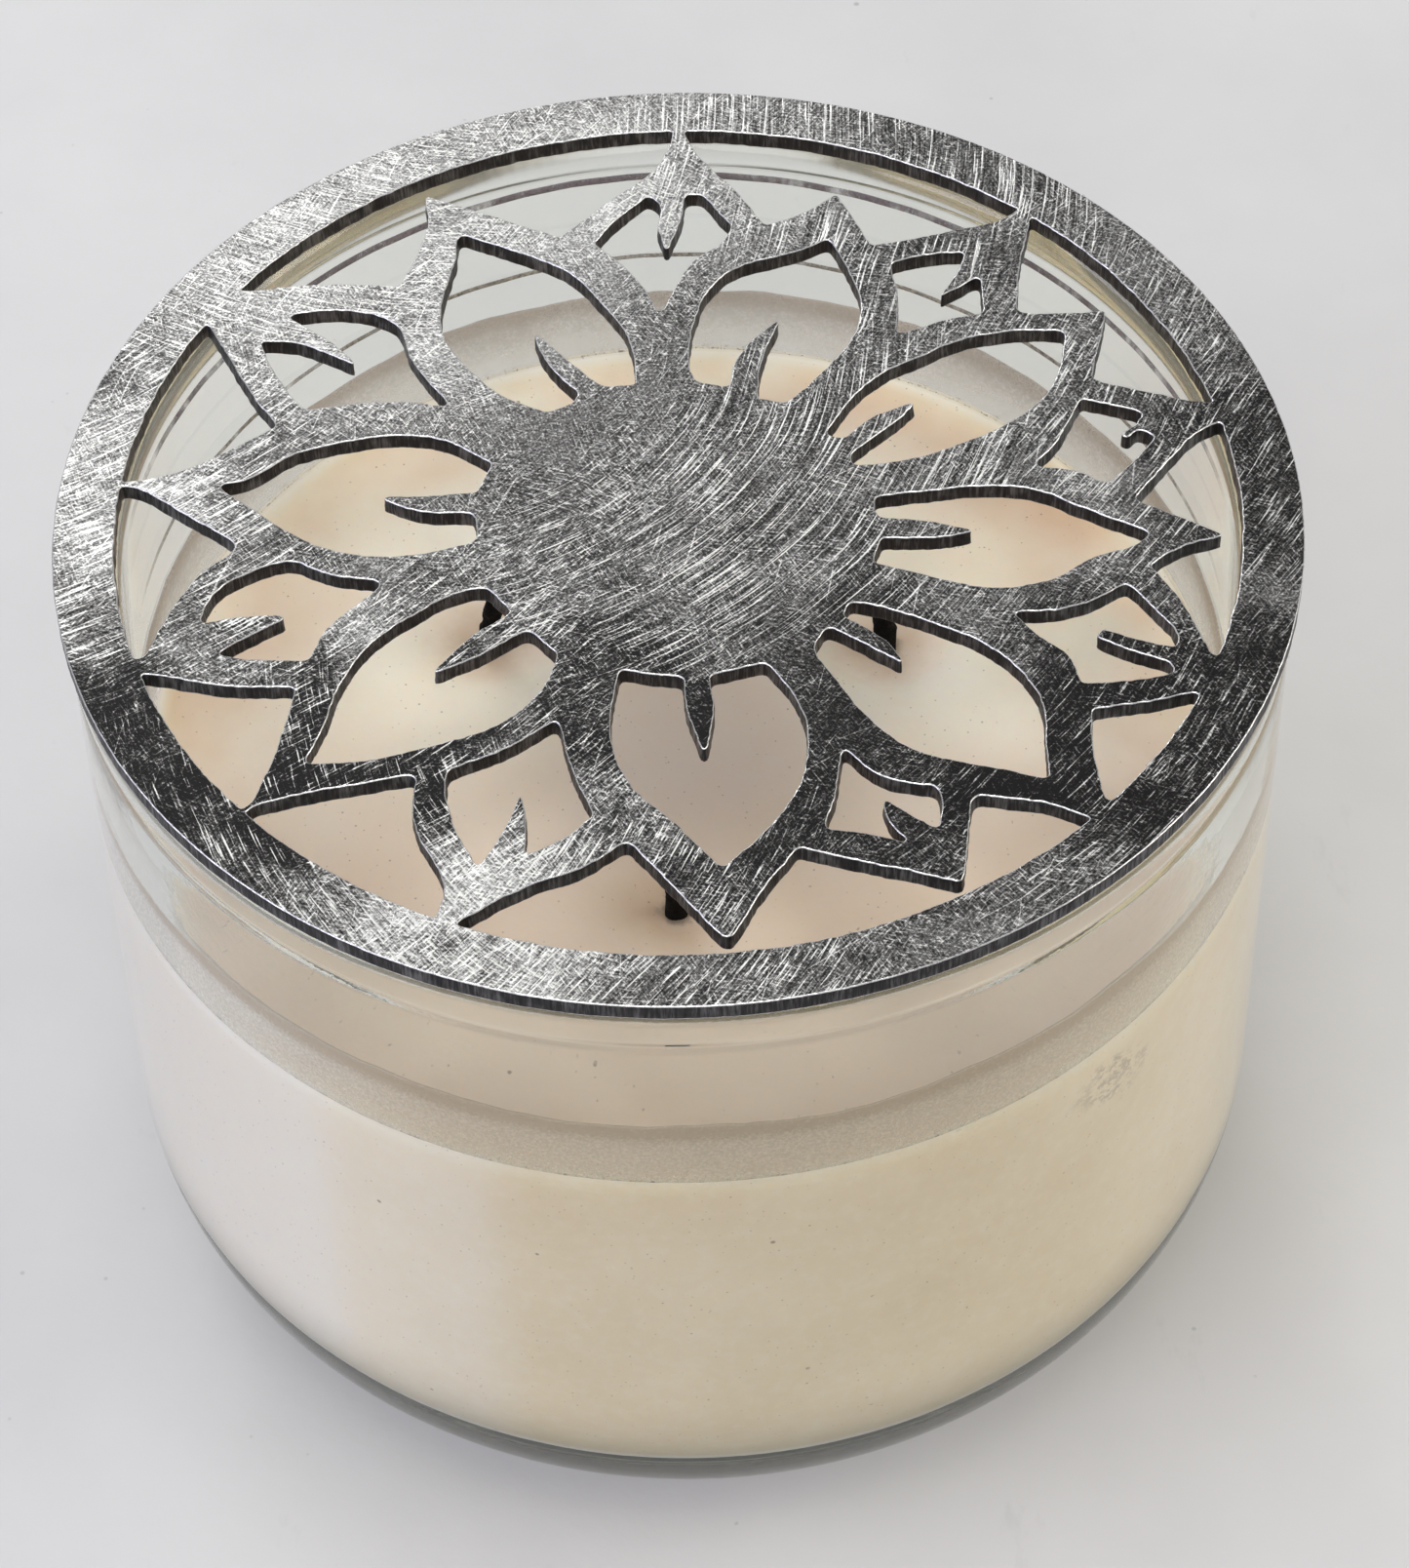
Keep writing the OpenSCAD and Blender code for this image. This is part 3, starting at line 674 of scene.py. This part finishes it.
def floor_paint():
    """A pale table top with faint scuffs and a few dark specks."""
    net = Net("table_top")
    cloud = net.noise(net.mm, 0.02, 4.0, 0.6)
    scuff = net.noise(net.mad(net.mm, (0.12, 0.05, 1.0), (4.0, 9.0, 0.0)), 1.0, 5.0, 0.75)
    base = net.mix(net.band(cloud, 0.35, 0.65), rgb(0.525, 0.525, 0.527), rgb(0.565, 0.565, 0.565))
    base = net.mix(net.band(scuff, 0.64, 0.78, 0.0, 0.4), base, rgb(0.41, 0.41, 0.41))
    for scale, reach, share in ((0.06, 0.024, 0.55), (0.2, 0.055, 0.4)):
        cells = net.node("TexVoronoi", {"Vector": net.mm, "Scale": scale, "Randomness": 1.0})
        size = net.noise(net.mm, scale * 1.3, 1.0)
        speck = net.band(cells.outputs["Distance"], reach * 0.5, reach, share, 0.0)
        speck = net.math("MULTIPLY", speck, net.band(size, 0.5, 0.56))
        base = net.mix(speck, base, rgb(0.24, 0.24, 0.23))
    normal = net.bump(net.noise(net.mm, 0.8, 3.0), 0.1, 0.3)
    net.principled(Base_Color=base, Roughness=0.55, Normal=normal)
    return net.material


GLASS = clear_glass()
WAX = cream_wax()
FILM = wax_film()
RESIDUE = old_residue()
CHAR = charred_wick()
TIN = tinned_steel()
FOAM = sticker_foam()
STEEL = ground_steel()
CUT = cut_steel()
EDGE = edge_steel()

# ------------------------------------------------------------- glass jar
SEAM_ANGLE = math.radians(-107.5)
SEAM_HEIGHT = 0.05
SEAM_WIDTH = 0.45


def glass_shift(x, y, z):
    """Small unevenness of pressed glass, and the two faint mould seams."""
    r = math.hypot(x, y)
    if r < 1.0:
        return x, y, z
    outward = 0.0
    if r > CAVITY_RADIUS + 1.0 and z < RIM_Z - RIM_ROUND - 2.0:
        a = math.atan2(y, x)
        for seam in (SEAM_ANGLE, SEAM_ANGLE + math.pi):
            off = math.remainder(a - seam, 2 * math.pi) * JAR_RADIUS
            outward += SEAM_HEIGHT * math.exp(-((off / SEAM_WIDTH) ** 2))
        outward -= SEAM_HEIGHT
    else:
        outward = 0.03 * noise_at(x, y, z, 0.11)
    k = (r + outward) / r
    return x * k, y * k, z


def jar_profile():
    """Half section of the jar, from the middle of the foot round to that of the floor."""
    foot = JAR_RADIUS - HEEL_RADIUS
    inner_foot = CAVITY_RADIUS - INNER_HEEL_RADIUS
    heel_z = GLASS_FLOOR + INNER_HEEL_RADIUS
    shoulder = RIM_Z - RIM_ROUND
    points = [(0.0, FOOT_HOLLOW_DEPTH)]
    points += straight(2.0, FOOT_HOLLOW_DEPTH, FOOT_HOLLOW_RADIUS - 1.2, FOOT_HOLLOW_DEPTH, 12)
    points += [
        (FOOT_HOLLOW_RADIUS - 1.2, FOOT_HOLLOW_DEPTH),
        (FOOT_HOLLOW_RADIUS - 0.6, FOOT_HOLLOW_DEPTH * 0.86),
        (FOOT_HOLLOW_RADIUS, FOOT_HOLLOW_DEPTH * 0.45),
        (FOOT_HOLLOW_RADIUS + 0.6, FOOT_HOLLOW_DEPTH * 0.12),
        (FOOT_HOLLOW_RADIUS + 1.2, 0.0),
    ]
    points += straight(FOOT_HOLLOW_RADIUS + 2.0, 0.0, foot, 0.0, 4)
    points += arc(foot, HEEL_RADIUS, HEEL_RADIUS, -90, 0, 40)
    points += straight(JAR_RADIUS, HEEL_RADIUS + 1.5, JAR_RADIUS, shoulder - 3.4, 30)
    points += [
        (JAR_RADIUS, shoulder - 3.4),
        (JAR_RADIUS - 0.02, shoulder - 2.9),
        (JAR_RADIUS - 0.16, shoulder - 2.6),
        (JAR_RADIUS - 0.16, shoulder - 2.3),
        (JAR_RADIUS - 0.04, shoulder - 2.0),
        (JAR_RADIUS, shoulder - 1.6),
        (JAR_RADIUS, shoulder - 0.8),
    ]
    points += arc(JAR_RADIUS - RIM_ROUND, shoulder, RIM_ROUND, 0, 90, 12)
    points += arc(CAVITY_RADIUS + RIM_ROUND, shoulder, RIM_ROUND, 90, 180, 12)
    points += straight(CAVITY_RADIUS, shoulder - 1.0, CAVITY_RADIUS, heel_z + 1.0, 36)
    points += arc(inner_foot, heel_z, INNER_HEEL_RADIUS, 0, -90, 28)
    points += straight(inner_foot - 2.0, GLASS_FLOOR, 0.0, GLASS_FLOOR, 12)
    points.append((0.0, GLASS_FLOOR))
    return points


jar = revolve("jar_glass", jar_profile(), GLASS, glass_shift)
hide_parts("glass_jar")
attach(jar, JAR)


# ------------------------------------------------------------------- wax
def wax_shift(x, y, z):
    """A slightly domed top, dimples round the wicks and a slow unevenness."""
    if z < WAX_LEVEL - 0.5:
        return x, y, z
    r = math.hypot(x, y)
    calm = min(1.0, max(0.0, (CAVITY_RADIUS - r) / 6.0))
    dome = 0.45 * (1.0 - (r / CAVITY_RADIUS) ** 2) - 0.2
    sink = 0.0
    for i in range(WICK_COUNT):
        cx, cy = wick_foot(i)
        d = math.hypot(x - cx, y - cy)
        sink += 1.1 * math.exp(-((d / 4.2) ** 2)) - 0.35 * math.exp(-(((d - 8.5) / 3.0) ** 2))
    rise = 0.28 * noise_at(x, y, 3.0, 0.07) + 0.06 * noise_at(x, y, 9.0, 0.35)
    return x, y, z + calm * (dome + rise - sink)


def wax_profile():
    """Half section of the wax, from the middle of its foot round to that of its top."""
    wall = CAVITY_RADIUS + CONTACT
    inner_foot = CAVITY_RADIUS - INNER_HEEL_RADIUS
    heel_z = GLASS_FLOOR + INNER_HEEL_RADIUS
    points = [(0.0, GLASS_FLOOR - CONTACT)]
    points += straight(2.0, GLASS_FLOOR - CONTACT, inner_foot - 1.0, GLASS_FLOOR - CONTACT, 12)
    points += arc(inner_foot, heel_z, INNER_HEEL_RADIUS + CONTACT, -90, 0, 28)
    points += straight(wall, heel_z + 1.5, wall, WAX_LEVEL - 0.3, 20)
    # the short climb up the glass
    points += [
        (wall, WAX_LEVEL + 0.3),
        (wall - 0.2, WAX_LEVEL + 0.42),
        (wall - 0.5, WAX_LEVEL + 0.24),
        (wall - 1.0, WAX_LEVEL + 0.08),
        (wall - 1.7, WAX_LEVEL),
    ]
    points += straight(wall - 2.6, WAX_LEVEL, 0.5, WAX_LEVEL, 70)
    points.append((0.0, WAX_LEVEL))
    return points


wax = revolve("wax_body", wax_profile(), WAX, wax_shift)
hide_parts("wax_fill")
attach(wax, JAR)


def film_shift(x, y, z):
    """The film's ragged upper edge."""
    if z < WAX_LEVEL + 2.0:
        return x, y, z
    lift = 0.5 * noise_at(x, y, 5.0, 0.09) + 0.22 * noise_at(x, y, 1.0, 0.5) - 0.4
    return x, y, z + lift * (z - WAX_LEVEL - 2.0) / (FILM_TOP - WAX_LEVEL - 2.0)


film_wall = CAVITY_RADIUS + CONTACT - 0.02
film_inside = CAVITY_RADIUS - 0.3
film_profile = straight(film_wall, WAX_LEVEL + 0.3, film_wall, FILM_TOP - 0.2, 10)
film_profile += [
    (film_wall, FILM_TOP - 0.2),
    (film_wall - 0.12, FILM_TOP),
    (film_inside + 0.05, FILM_TOP - 0.25),
]
film_profile += straight(film_inside, FILM_TOP - 0.6, film_inside, WAX_LEVEL + 0.3, 10)
film_profile += [(film_inside, WAX_LEVEL + 0.3)]
film = revolve("wax_film", film_profile, FILM, film_shift, closed=True)
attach(film, JAR)


def residue_shift(x, y, z):
    """The line wanders a little round the jar."""
    return x, y, z + 0.5 * noise_at(x, y, 2.0, 0.035) + 0.12 * noise_at(x, y, 6.0, 0.3)


# Thin lines left on the inside of the wall: the height and the width of each
RESIDUE_LINES = [(64.2, 0.5), (73.9, 0.8)]
for number, (level, width) in enumerate(RESIDUE_LINES):
    skin = CAVITY_RADIUS - 0.06
    line_profile = [
        (CAVITY_RADIUS + CONTACT - 0.03, level - width / 2),
        (CAVITY_RADIUS + CONTACT - 0.03, level + width / 2),
        (skin, level + width * 0.35),
        (skin, level - width * 0.35),
    ]
    line = revolve(f"residue_line_{number + 1}", line_profile, RESIDUE, residue_shift, closed=True)
    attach(line, JAR)


# ----------------------------------------------------------------- wicks
def tube(path, radii, sides, uneven):
    """Rings of points along a path, closed at both ends."""
    verts, faces = [], []
    count = len(path)
    for j, (point, radius) in enumerate(zip(path, radii)):
        ahead = path[min(j + 1, count - 1)] - path[max(j - 1, 0)]
        ahead.normalize()
        side = ahead.orthogonal() if abs(ahead.x) > 0.9 else Vector((1, 0, 0)).cross(ahead)
        side.normalize()
        other = ahead.cross(side)
        for k in range(sides):
            a = 2 * math.pi * k / sides
            r = radius * uneven(a, j, point)
            verts.append(point + (side * math.cos(a) + other * math.sin(a)) * r)
    for j in range(count - 1):
        for k in range(sides):
            n = (k + 1) % sides
            faces.append((j * sides + k, j * sides + n, (j + 1) * sides + n, (j + 1) * sides + k))
    verts.append(path[0].copy())
    verts.append(path[-1].copy())
    for k in range(sides):
        n = (k + 1) % sides
        faces.append((len(verts) - 2, n, k))
        faces.append((len(verts) - 1, (count - 1) * sides + k, (count - 1) * sides + n))
    return verts, faces


def wick(i):
    """A braided wick: pale cotton in the wax, a charred and bent end above it."""
    rng = random.Random(40 + i)
    x, y = wick_foot(i)
    lean = math.radians(WICK_ANGLES[i] + LEAN_WAYS[i])
    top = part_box(f"wick_{i + 1}")[1].z / MM
    bend_z = WAX_LEVEL + 1.2
    steps = 46
    path, radii = [], []
    for j in range(12):
        path.append(Vector((x, y, TAB_Z + (bend_z - TAB_Z) * j / 12)))
        radii.append(1.0)
    reach = (top - bend_z) * math.tan(math.radians(WICK_LEAN)) * 1.1
    for j in range(steps + 1):
        t = j / steps
        out = reach * t ** 1.5 + 0.14 * math.sin(t * 6.0 + i)
        side = 0.12 * math.sin(t * 5.0 + 2 * i) * t
        path.append(
            Vector(
                (
                    x + out * math.cos(lean) - side * math.sin(lean),
                    y + out * math.sin(lean) + side * math.cos(lean),
                    bend_z + (top - 0.25 - bend_z) * t,
                )
            )
        )
        swell = 0.95 + 0.1 * math.sin(t * 9.0 + i * 2)
        end = 1.0 if t < 0.9 else max(0.35, 1.0 - ((t - 0.9) / 0.1) ** 2 * 0.6)
        radii.append((0.98 - 0.2 * t) * swell * end)

    def uneven(a, j, p):
        strands = 0.09 * math.cos(3 * a + p.z * 2.6) + 0.07 * math.cos(2 * a - p.z * 3.1)
        crumble = 0.16 * noise_at(p.x * 2 + math.cos(a), p.y * 2 + math.sin(a), p.z * 1.4, 1.3)
        return 1.0 + strands + (crumble if p.z > WAX_LEVEL - 1 else 0.0)

    verts, faces = tube(path, radii, 20, uneven)
    for _ in range(5):
        start = len(verts)
        a = rng.uniform(0, 2 * math.pi)
        j = rng.randrange(len(path) - 16, len(path) - 2)
        way = Vector((math.cos(a), math.sin(a), rng.uniform(0.1, 0.9))).normalized()
        root = path[j] + way * radii[j] * 0.7
        hair = [root + way * (0.55 * k / 5) + Vector((0, 0, 0.10)) * (k / 5) ** 2 for k in range(6)]
        hair = [Vector((p.x, p.y, min(p.z, top))) for p in hair]
        more, more_faces = tube(hair, [0.13, 0.12, 0.11, 0.09, 0.07, 0.04], 6, lambda a, j, p: 1.0)
        verts += more
        faces += [tuple(v + start for v in f) for f in more_faces]
    made = mesh_object(f"charred_wick_{i + 1}", verts, faces, CHAR)
    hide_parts(f"wick_{i + 1}")
    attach(made, JAR)


for i in range(WICK_COUNT):
    wick(i)

# Under the wicks: the CAD's discs, and the dots seen through the glass foot
for i in range(WICK_COUNT):
    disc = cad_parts[f"wick_tab_{i + 1}"]
    disc.data.materials.clear()
    disc.data.materials.append(TIN)
    bottom = GLASS_FLOOR - CONTACT - 0.03
    dot_profile = [(0.0, bottom)]
    dot_profile += straight(1.0, bottom, STICKER_RADIUS - 0.25, bottom, 10)
    dot_profile += arc(STICKER_RADIUS - 0.25, bottom + 0.25, 0.25, -90, 0, 4)
    dot_profile += [(STICKER_RADIUS, TAB_Z - 0.1), (STICKER_RADIUS - 0.1, TAB_Z), (0.0, TAB_Z)]
    dot = revolve(f"foam_dot_{i + 1}", dot_profile, FOAM, None, False, wick_foot(i))
    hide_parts(f"wick_sticker_{i + 1}")
    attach(dot, JAR)


# --------------------------------------------------------------- topper
POINT_GAP = 0.27
KERF_LEAN = 0.05
ARRIS = 0.09


def cap_loops():
    """The outlines of the plate's upper face, from the CAD node's own mesh."""
    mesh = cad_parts["sunflower_topper"].data
    bm = bmesh.new()
    bm.from_mesh(mesh)
    bmesh.ops.remove_doubles(bm, verts=bm.verts, dist=0.002 * MM)
    bm.normal_update()
    upper = [
        f
        for f in bm.faces
        if all(abs(v.co.z / MM - PLATE_TOP) < 0.01 for v in f.verts)
    ]
    kept = set(upper)
    follow = {}
    for face in upper:
        loops = list(face.loops)
        for loop in loops:
            others = [f for f in loop.edge.link_faces if f in kept and f is not face]
            if others:
                continue
            a, b = loop.vert, loop.link_loop_next.vert
            follow.setdefault(a, []).append(b)
    loops = []
    while follow:
        start = next(iter(follow))
        ring = [start]
        here = follow[start].pop()
        if not follow[start]:
            del follow[start]
        while here is not start:
            ring.append(here)
            step = follow[here].pop()
            if not follow[here]:
                del follow[here]
            here = step
        loops.append(np.array([(v.co.x / MM, v.co.y / MM) for v in ring]))
    bm.free()
    return loops


def signed_area(ring):
    x, y = ring[:, 0], ring[:, 1]
    return 0.5 * float(np.sum(x * np.roll(y, -1) - y * np.roll(x, -1)))


def resample(ring, gap):
    """Even points along a closed line."""
    ends = np.vstack([ring, ring[:1]])
    along = np.concatenate([[0], np.cumsum(np.linalg.norm(np.diff(ends, axis=0), axis=1))])
    count = max(12, int(round(along[-1] / gap)))
    at = np.arange(count) * along[-1] / count
    return np.column_stack([np.interp(at, along, ends[:, k]) for k in (0, 1)])


def soften(ring, passes):
    for _ in range(passes):
        ring = 0.5 * ring + 0.25 * (np.roll(ring, 1, axis=0) + np.roll(ring, -1, axis=0))
    return ring


def outward_of(ring):
    """Unit normals that point away from the steel, on a loop with steel on its left."""
    ahead = np.roll(ring, -1, axis=0) - np.roll(ring, 1, axis=0)
    length = np.linalg.norm(ahead, axis=1)
    length[length < 1e-9] = 1.0
    return np.column_stack([ahead[:, 1], -ahead[:, 0]]) / length[:, None]


def cutter_wobble(ring, depth, amount):
    """How far the torch strayed at each point, at one depth below the top."""
    out = np.zeros(len(ring))
    for k, (x, y) in enumerate(ring):
        slow = noise_at(x, y, 0.4 * depth, 0.5)
        quick = noise_at(x, y, 0.6 * depth + 20.0, 1.5)
        fine = noise_at(x, y, 0.9 * depth + 40.0, 4.0)
        out[k] = amount * (0.10 * slow + 0.075 * quick + 0.03 * fine)
    return out


def steel_left(ring, outer):
    """Turns a loop so that the steel is on its left: the outside runs anticlockwise."""
    area = signed_area(ring)
    return ring if (area > 0) == outer else ring[::-1].copy()


def build_topper():
    thick = PLATE_TOP - PLATE_BOTTOM
    raw = cap_loops()
    raw.sort(key=lambda ring: -abs(signed_area(ring)))
    # depth below the top face, and how far inside the cut line the row lies
    rows = [(0.0, ARRIS), (0.03, 0.03), (ARRIS, 0.0)]
    rows += [(thick * t, -KERF_LEAN * t) for t in (0.3, 0.55, 0.8)]
    rows += [(thick - 0.07, -KERF_LEAN), (thick, 0.06 - KERF_LEAN)]
    verts, faces, kinds = [], [], []
    caps = {0: [], len(rows) - 1: []}
    for index, ring in enumerate(raw):
        outer = index == 0
        ring = steel_left(ring, outer)
        ring = soften(resample(ring, POINT_GAP), 1 if not outer else 0)
        if outer:
            angles = np.arctan2(ring[:, 1], ring[:, 0])
            radius = PLATE_RADIUS - 0.06
            ring = np.column_stack([np.cos(angles), np.sin(angles)]) * radius
        out = outward_of(ring)
        ids = []
        for depth, inset in rows:
            stray = cutter_wobble(ring, depth, 0.35 if outer else 1.0)
            if outer:
                inset = max(inset, 0.0)
            moved = ring + out * (stray - inset)[:, None]
            start = len(verts)
            verts += [(p[0], p[1], PLATE_TOP - depth) for p in moved]
            ids.append(list(range(start, start + len(ring))))
        for j in range(len(rows) - 1):
            kind = 2 if j < 2 or j == len(rows) - 2 else 1
            for k in range(len(ring)):
                n = (k + 1) % len(ring)
                faces.append((ids[j][k], ids[j + 1][k], ids[j + 1][n], ids[j][n]))
                kinds.append(kind)
        for row in caps:
            caps[row].append(ids[row])
    for row, rings in caps.items():
        points = [Vector(verts[v][:2]) for ring in rings for v in ring]
        original = [v for ring in rings for v in ring]
        edges, start = [], 0
        for ring in rings:
            edges += [(start + k, start + (k + 1) % len(ring)) for k in range(len(ring))]
            start += len(ring)
        out_verts, _, out_faces, back, _, _ = delaunay_2d_cdt(points, edges, [], 0, 1e-6)
        where = [original[b[0]] if b else None for b in back]
        tri = np.array([f for f in out_faces if all(where[v] is not None for v in f)])
        flat = np.array([tuple(v) for v in out_verts])
        middle = flat[tri].mean(axis=1)
        ends_a = np.array([tuple(points[a]) for a, _ in edges])
        ends_b = np.array([tuple(points[b]) for _, b in edges])
        inside = np.zeros(len(middle), bool)
        for chunk in range(0, len(middle), 1500):
            m = middle[chunk : chunk + 1500]
            over = (ends_a[None, :, 1] > m[:, None, 1]) != (ends_b[None, :, 1] > m[:, None, 1])
            with np.errstate(divide="ignore", invalid="ignore"):
                slope = (m[:, None, 1] - ends_a[None, :, 1]) / (ends_b[:, 1] - ends_a[:, 1])[None, :]
            cross = ends_a[None, :, 0] + slope * (ends_b[:, 0] - ends_a[:, 0])[None, :]
            inside[chunk : chunk + 1500] = (over & (m[:, None, 0] < cross)).sum(axis=1) % 2 == 1
        for f in tri[inside]:
            faces.append(tuple(where[v] for v in f))
            kinds.append(0)
    made = mesh_object("topper_plate", verts, faces, STEEL)
    made.data.materials.append(CUT)
    made.data.materials.append(EDGE)
    return made, kinds


plate, plate_kinds = build_topper()
if len(plate_kinds) == len(plate.data.polygons):
    plate.data.polygons.foreach_set("material_index", plate_kinds)
    plate.data.polygons.foreach_set("use_smooth", [k != 0 for k in plate_kinds])
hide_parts("sunflower_topper")
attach(plate, TOPPER)

# ----------------------------------------------------------- table, light
TABLE = 3000.0
# A hair below the foot, so that the glass and the table don't share a face
TABLE_Z = -0.1
TABLE_CELLS = 12
TABLE_ROW = TABLE_CELLS + 1
table_verts = [
    (TABLE * (k / TABLE_CELLS - 0.5), TABLE * (j / TABLE_CELLS - 0.5), TABLE_Z)
    for j in range(TABLE_ROW)
    for k in range(TABLE_ROW)
]
table_faces = [
    (j * TABLE_ROW + k, j * TABLE_ROW + k + 1, (j + 1) * TABLE_ROW + k + 1, (j + 1) * TABLE_ROW + k)
    for j in range(TABLE_CELLS)
    for k in range(TABLE_CELLS)
]
table = mesh_object("table_top", table_verts, table_faces, floor_paint())
if table.data.polygons[0].normal.z < 0:
    table.data.flip_normals()


def soft_light(name, at, aim, width, height, watts, colour):
    data = bpy.data.lights.new(name, "AREA")
    data.shape = "RECTANGLE"
    data.size, data.size_y = width, height
    data.energy = watts
    data.color = colour
    obj = bpy.data.objects.new(name, data)
    obj.location = at
    obj.rotation_euler = (Vector(aim) - Vector(at)).to_track_quat("-Z", "Y").to_euler()
    bpy.context.scene.collection.objects.link(obj)


# name, place, aim, width, height, watts, colour; lengths in metres
LIGHTS = [
    ("window", (-0.33, 1.01, 0.75), (0.0, 0.0, 0.08), 0.38, 0.38, 3.3, (0.98, 0.99, 1.0)),
    ("overhead", (-0.12, -0.1, 1.5), (0.0, 0.0, 0.05), 0.7, 0.7, 9.0, (1.0, 0.99, 0.97)),
    ("left", (-1.1, -0.4, 0.55), (0.0, 0.0, 0.05), 1.2, 0.7, 9.6, (0.79, 0.80, 1.0)),
    ("right", (1.15, 0.0, 0.55), (0.0, 0.0, 0.05), 1.0, 0.7, 8.2, (1.0, 0.94, 0.86)),
    ("front", (-0.1, -1.2, 1.0), (0.0, -0.05, 0.0), 1.2, 0.8, 6.6, (1.0, 0.98, 0.96)),
    ("back", (0.35, 1.25, 0.45), (0.0, 0.0, 0.05), 1.2, 0.5, 0.6, (1.0, 0.97, 0.92)),
]
for light in LIGHTS:
    soft_light(*light)

world = bpy.data.worlds.new("studio")
world.use_nodes = True
back = world.node_tree.nodes["Background"]
back.inputs["Color"].default_value = (0.93, 0.94, 0.96, 1.0)
back.inputs["Strength"].default_value = 0.33
bpy.context.scene.world = world
bpy.context.scene.view_settings.view_transform = "Standard"

# ---------------------------------------------------------------- camera
# It looks at the middle of the plate's top; distance in metres, lens and sensor in mm
CAMERA_DISTANCE = 0.4022
CAMERA_RISE = math.radians(46.54)
CAMERA_ROLL = math.radians(1.69)
AIM_LEFT = math.radians(-0.3168)
AIM_UP = math.radians(3.194)
LENS = 111.94
SENSOR = 36.0

aim = Vector((0.0, 0.0, PLATE_TOP * MM))
back_way = Vector((0.0, -math.cos(CAMERA_RISE), math.sin(CAMERA_RISE)))
right_way = Vector((1.0, 0.0, 0.0))
up_way = back_way.cross(right_way)
toward = Vector((math.tan(AIM_LEFT), math.tan(AIM_UP), -1.0)).normalized()
swing = Vector((0.0, 0.0, -1.0)).rotation_difference(toward).to_matrix()
roll = Matrix.Rotation(CAMERA_ROLL, 3, "Z")
to_camera = swing @ roll @ Matrix((right_way, up_way, back_way))
camera_data = bpy.data.cameras.new("camera")
camera_data.lens = LENS
camera_data.sensor_width = SENSOR
camera_data.clip_start = 0.01
camera_data.clip_end = 20.0
camera = bpy.data.objects.new("camera", camera_data)
stand = Matrix.Translation(aim + back_way * CAMERA_DISTANCE)
camera.matrix_world = stand @ to_camera.transposed().to_4x4()
bpy.context.scene.collection.objects.link(camera)
bpy.context.scene.camera = camera
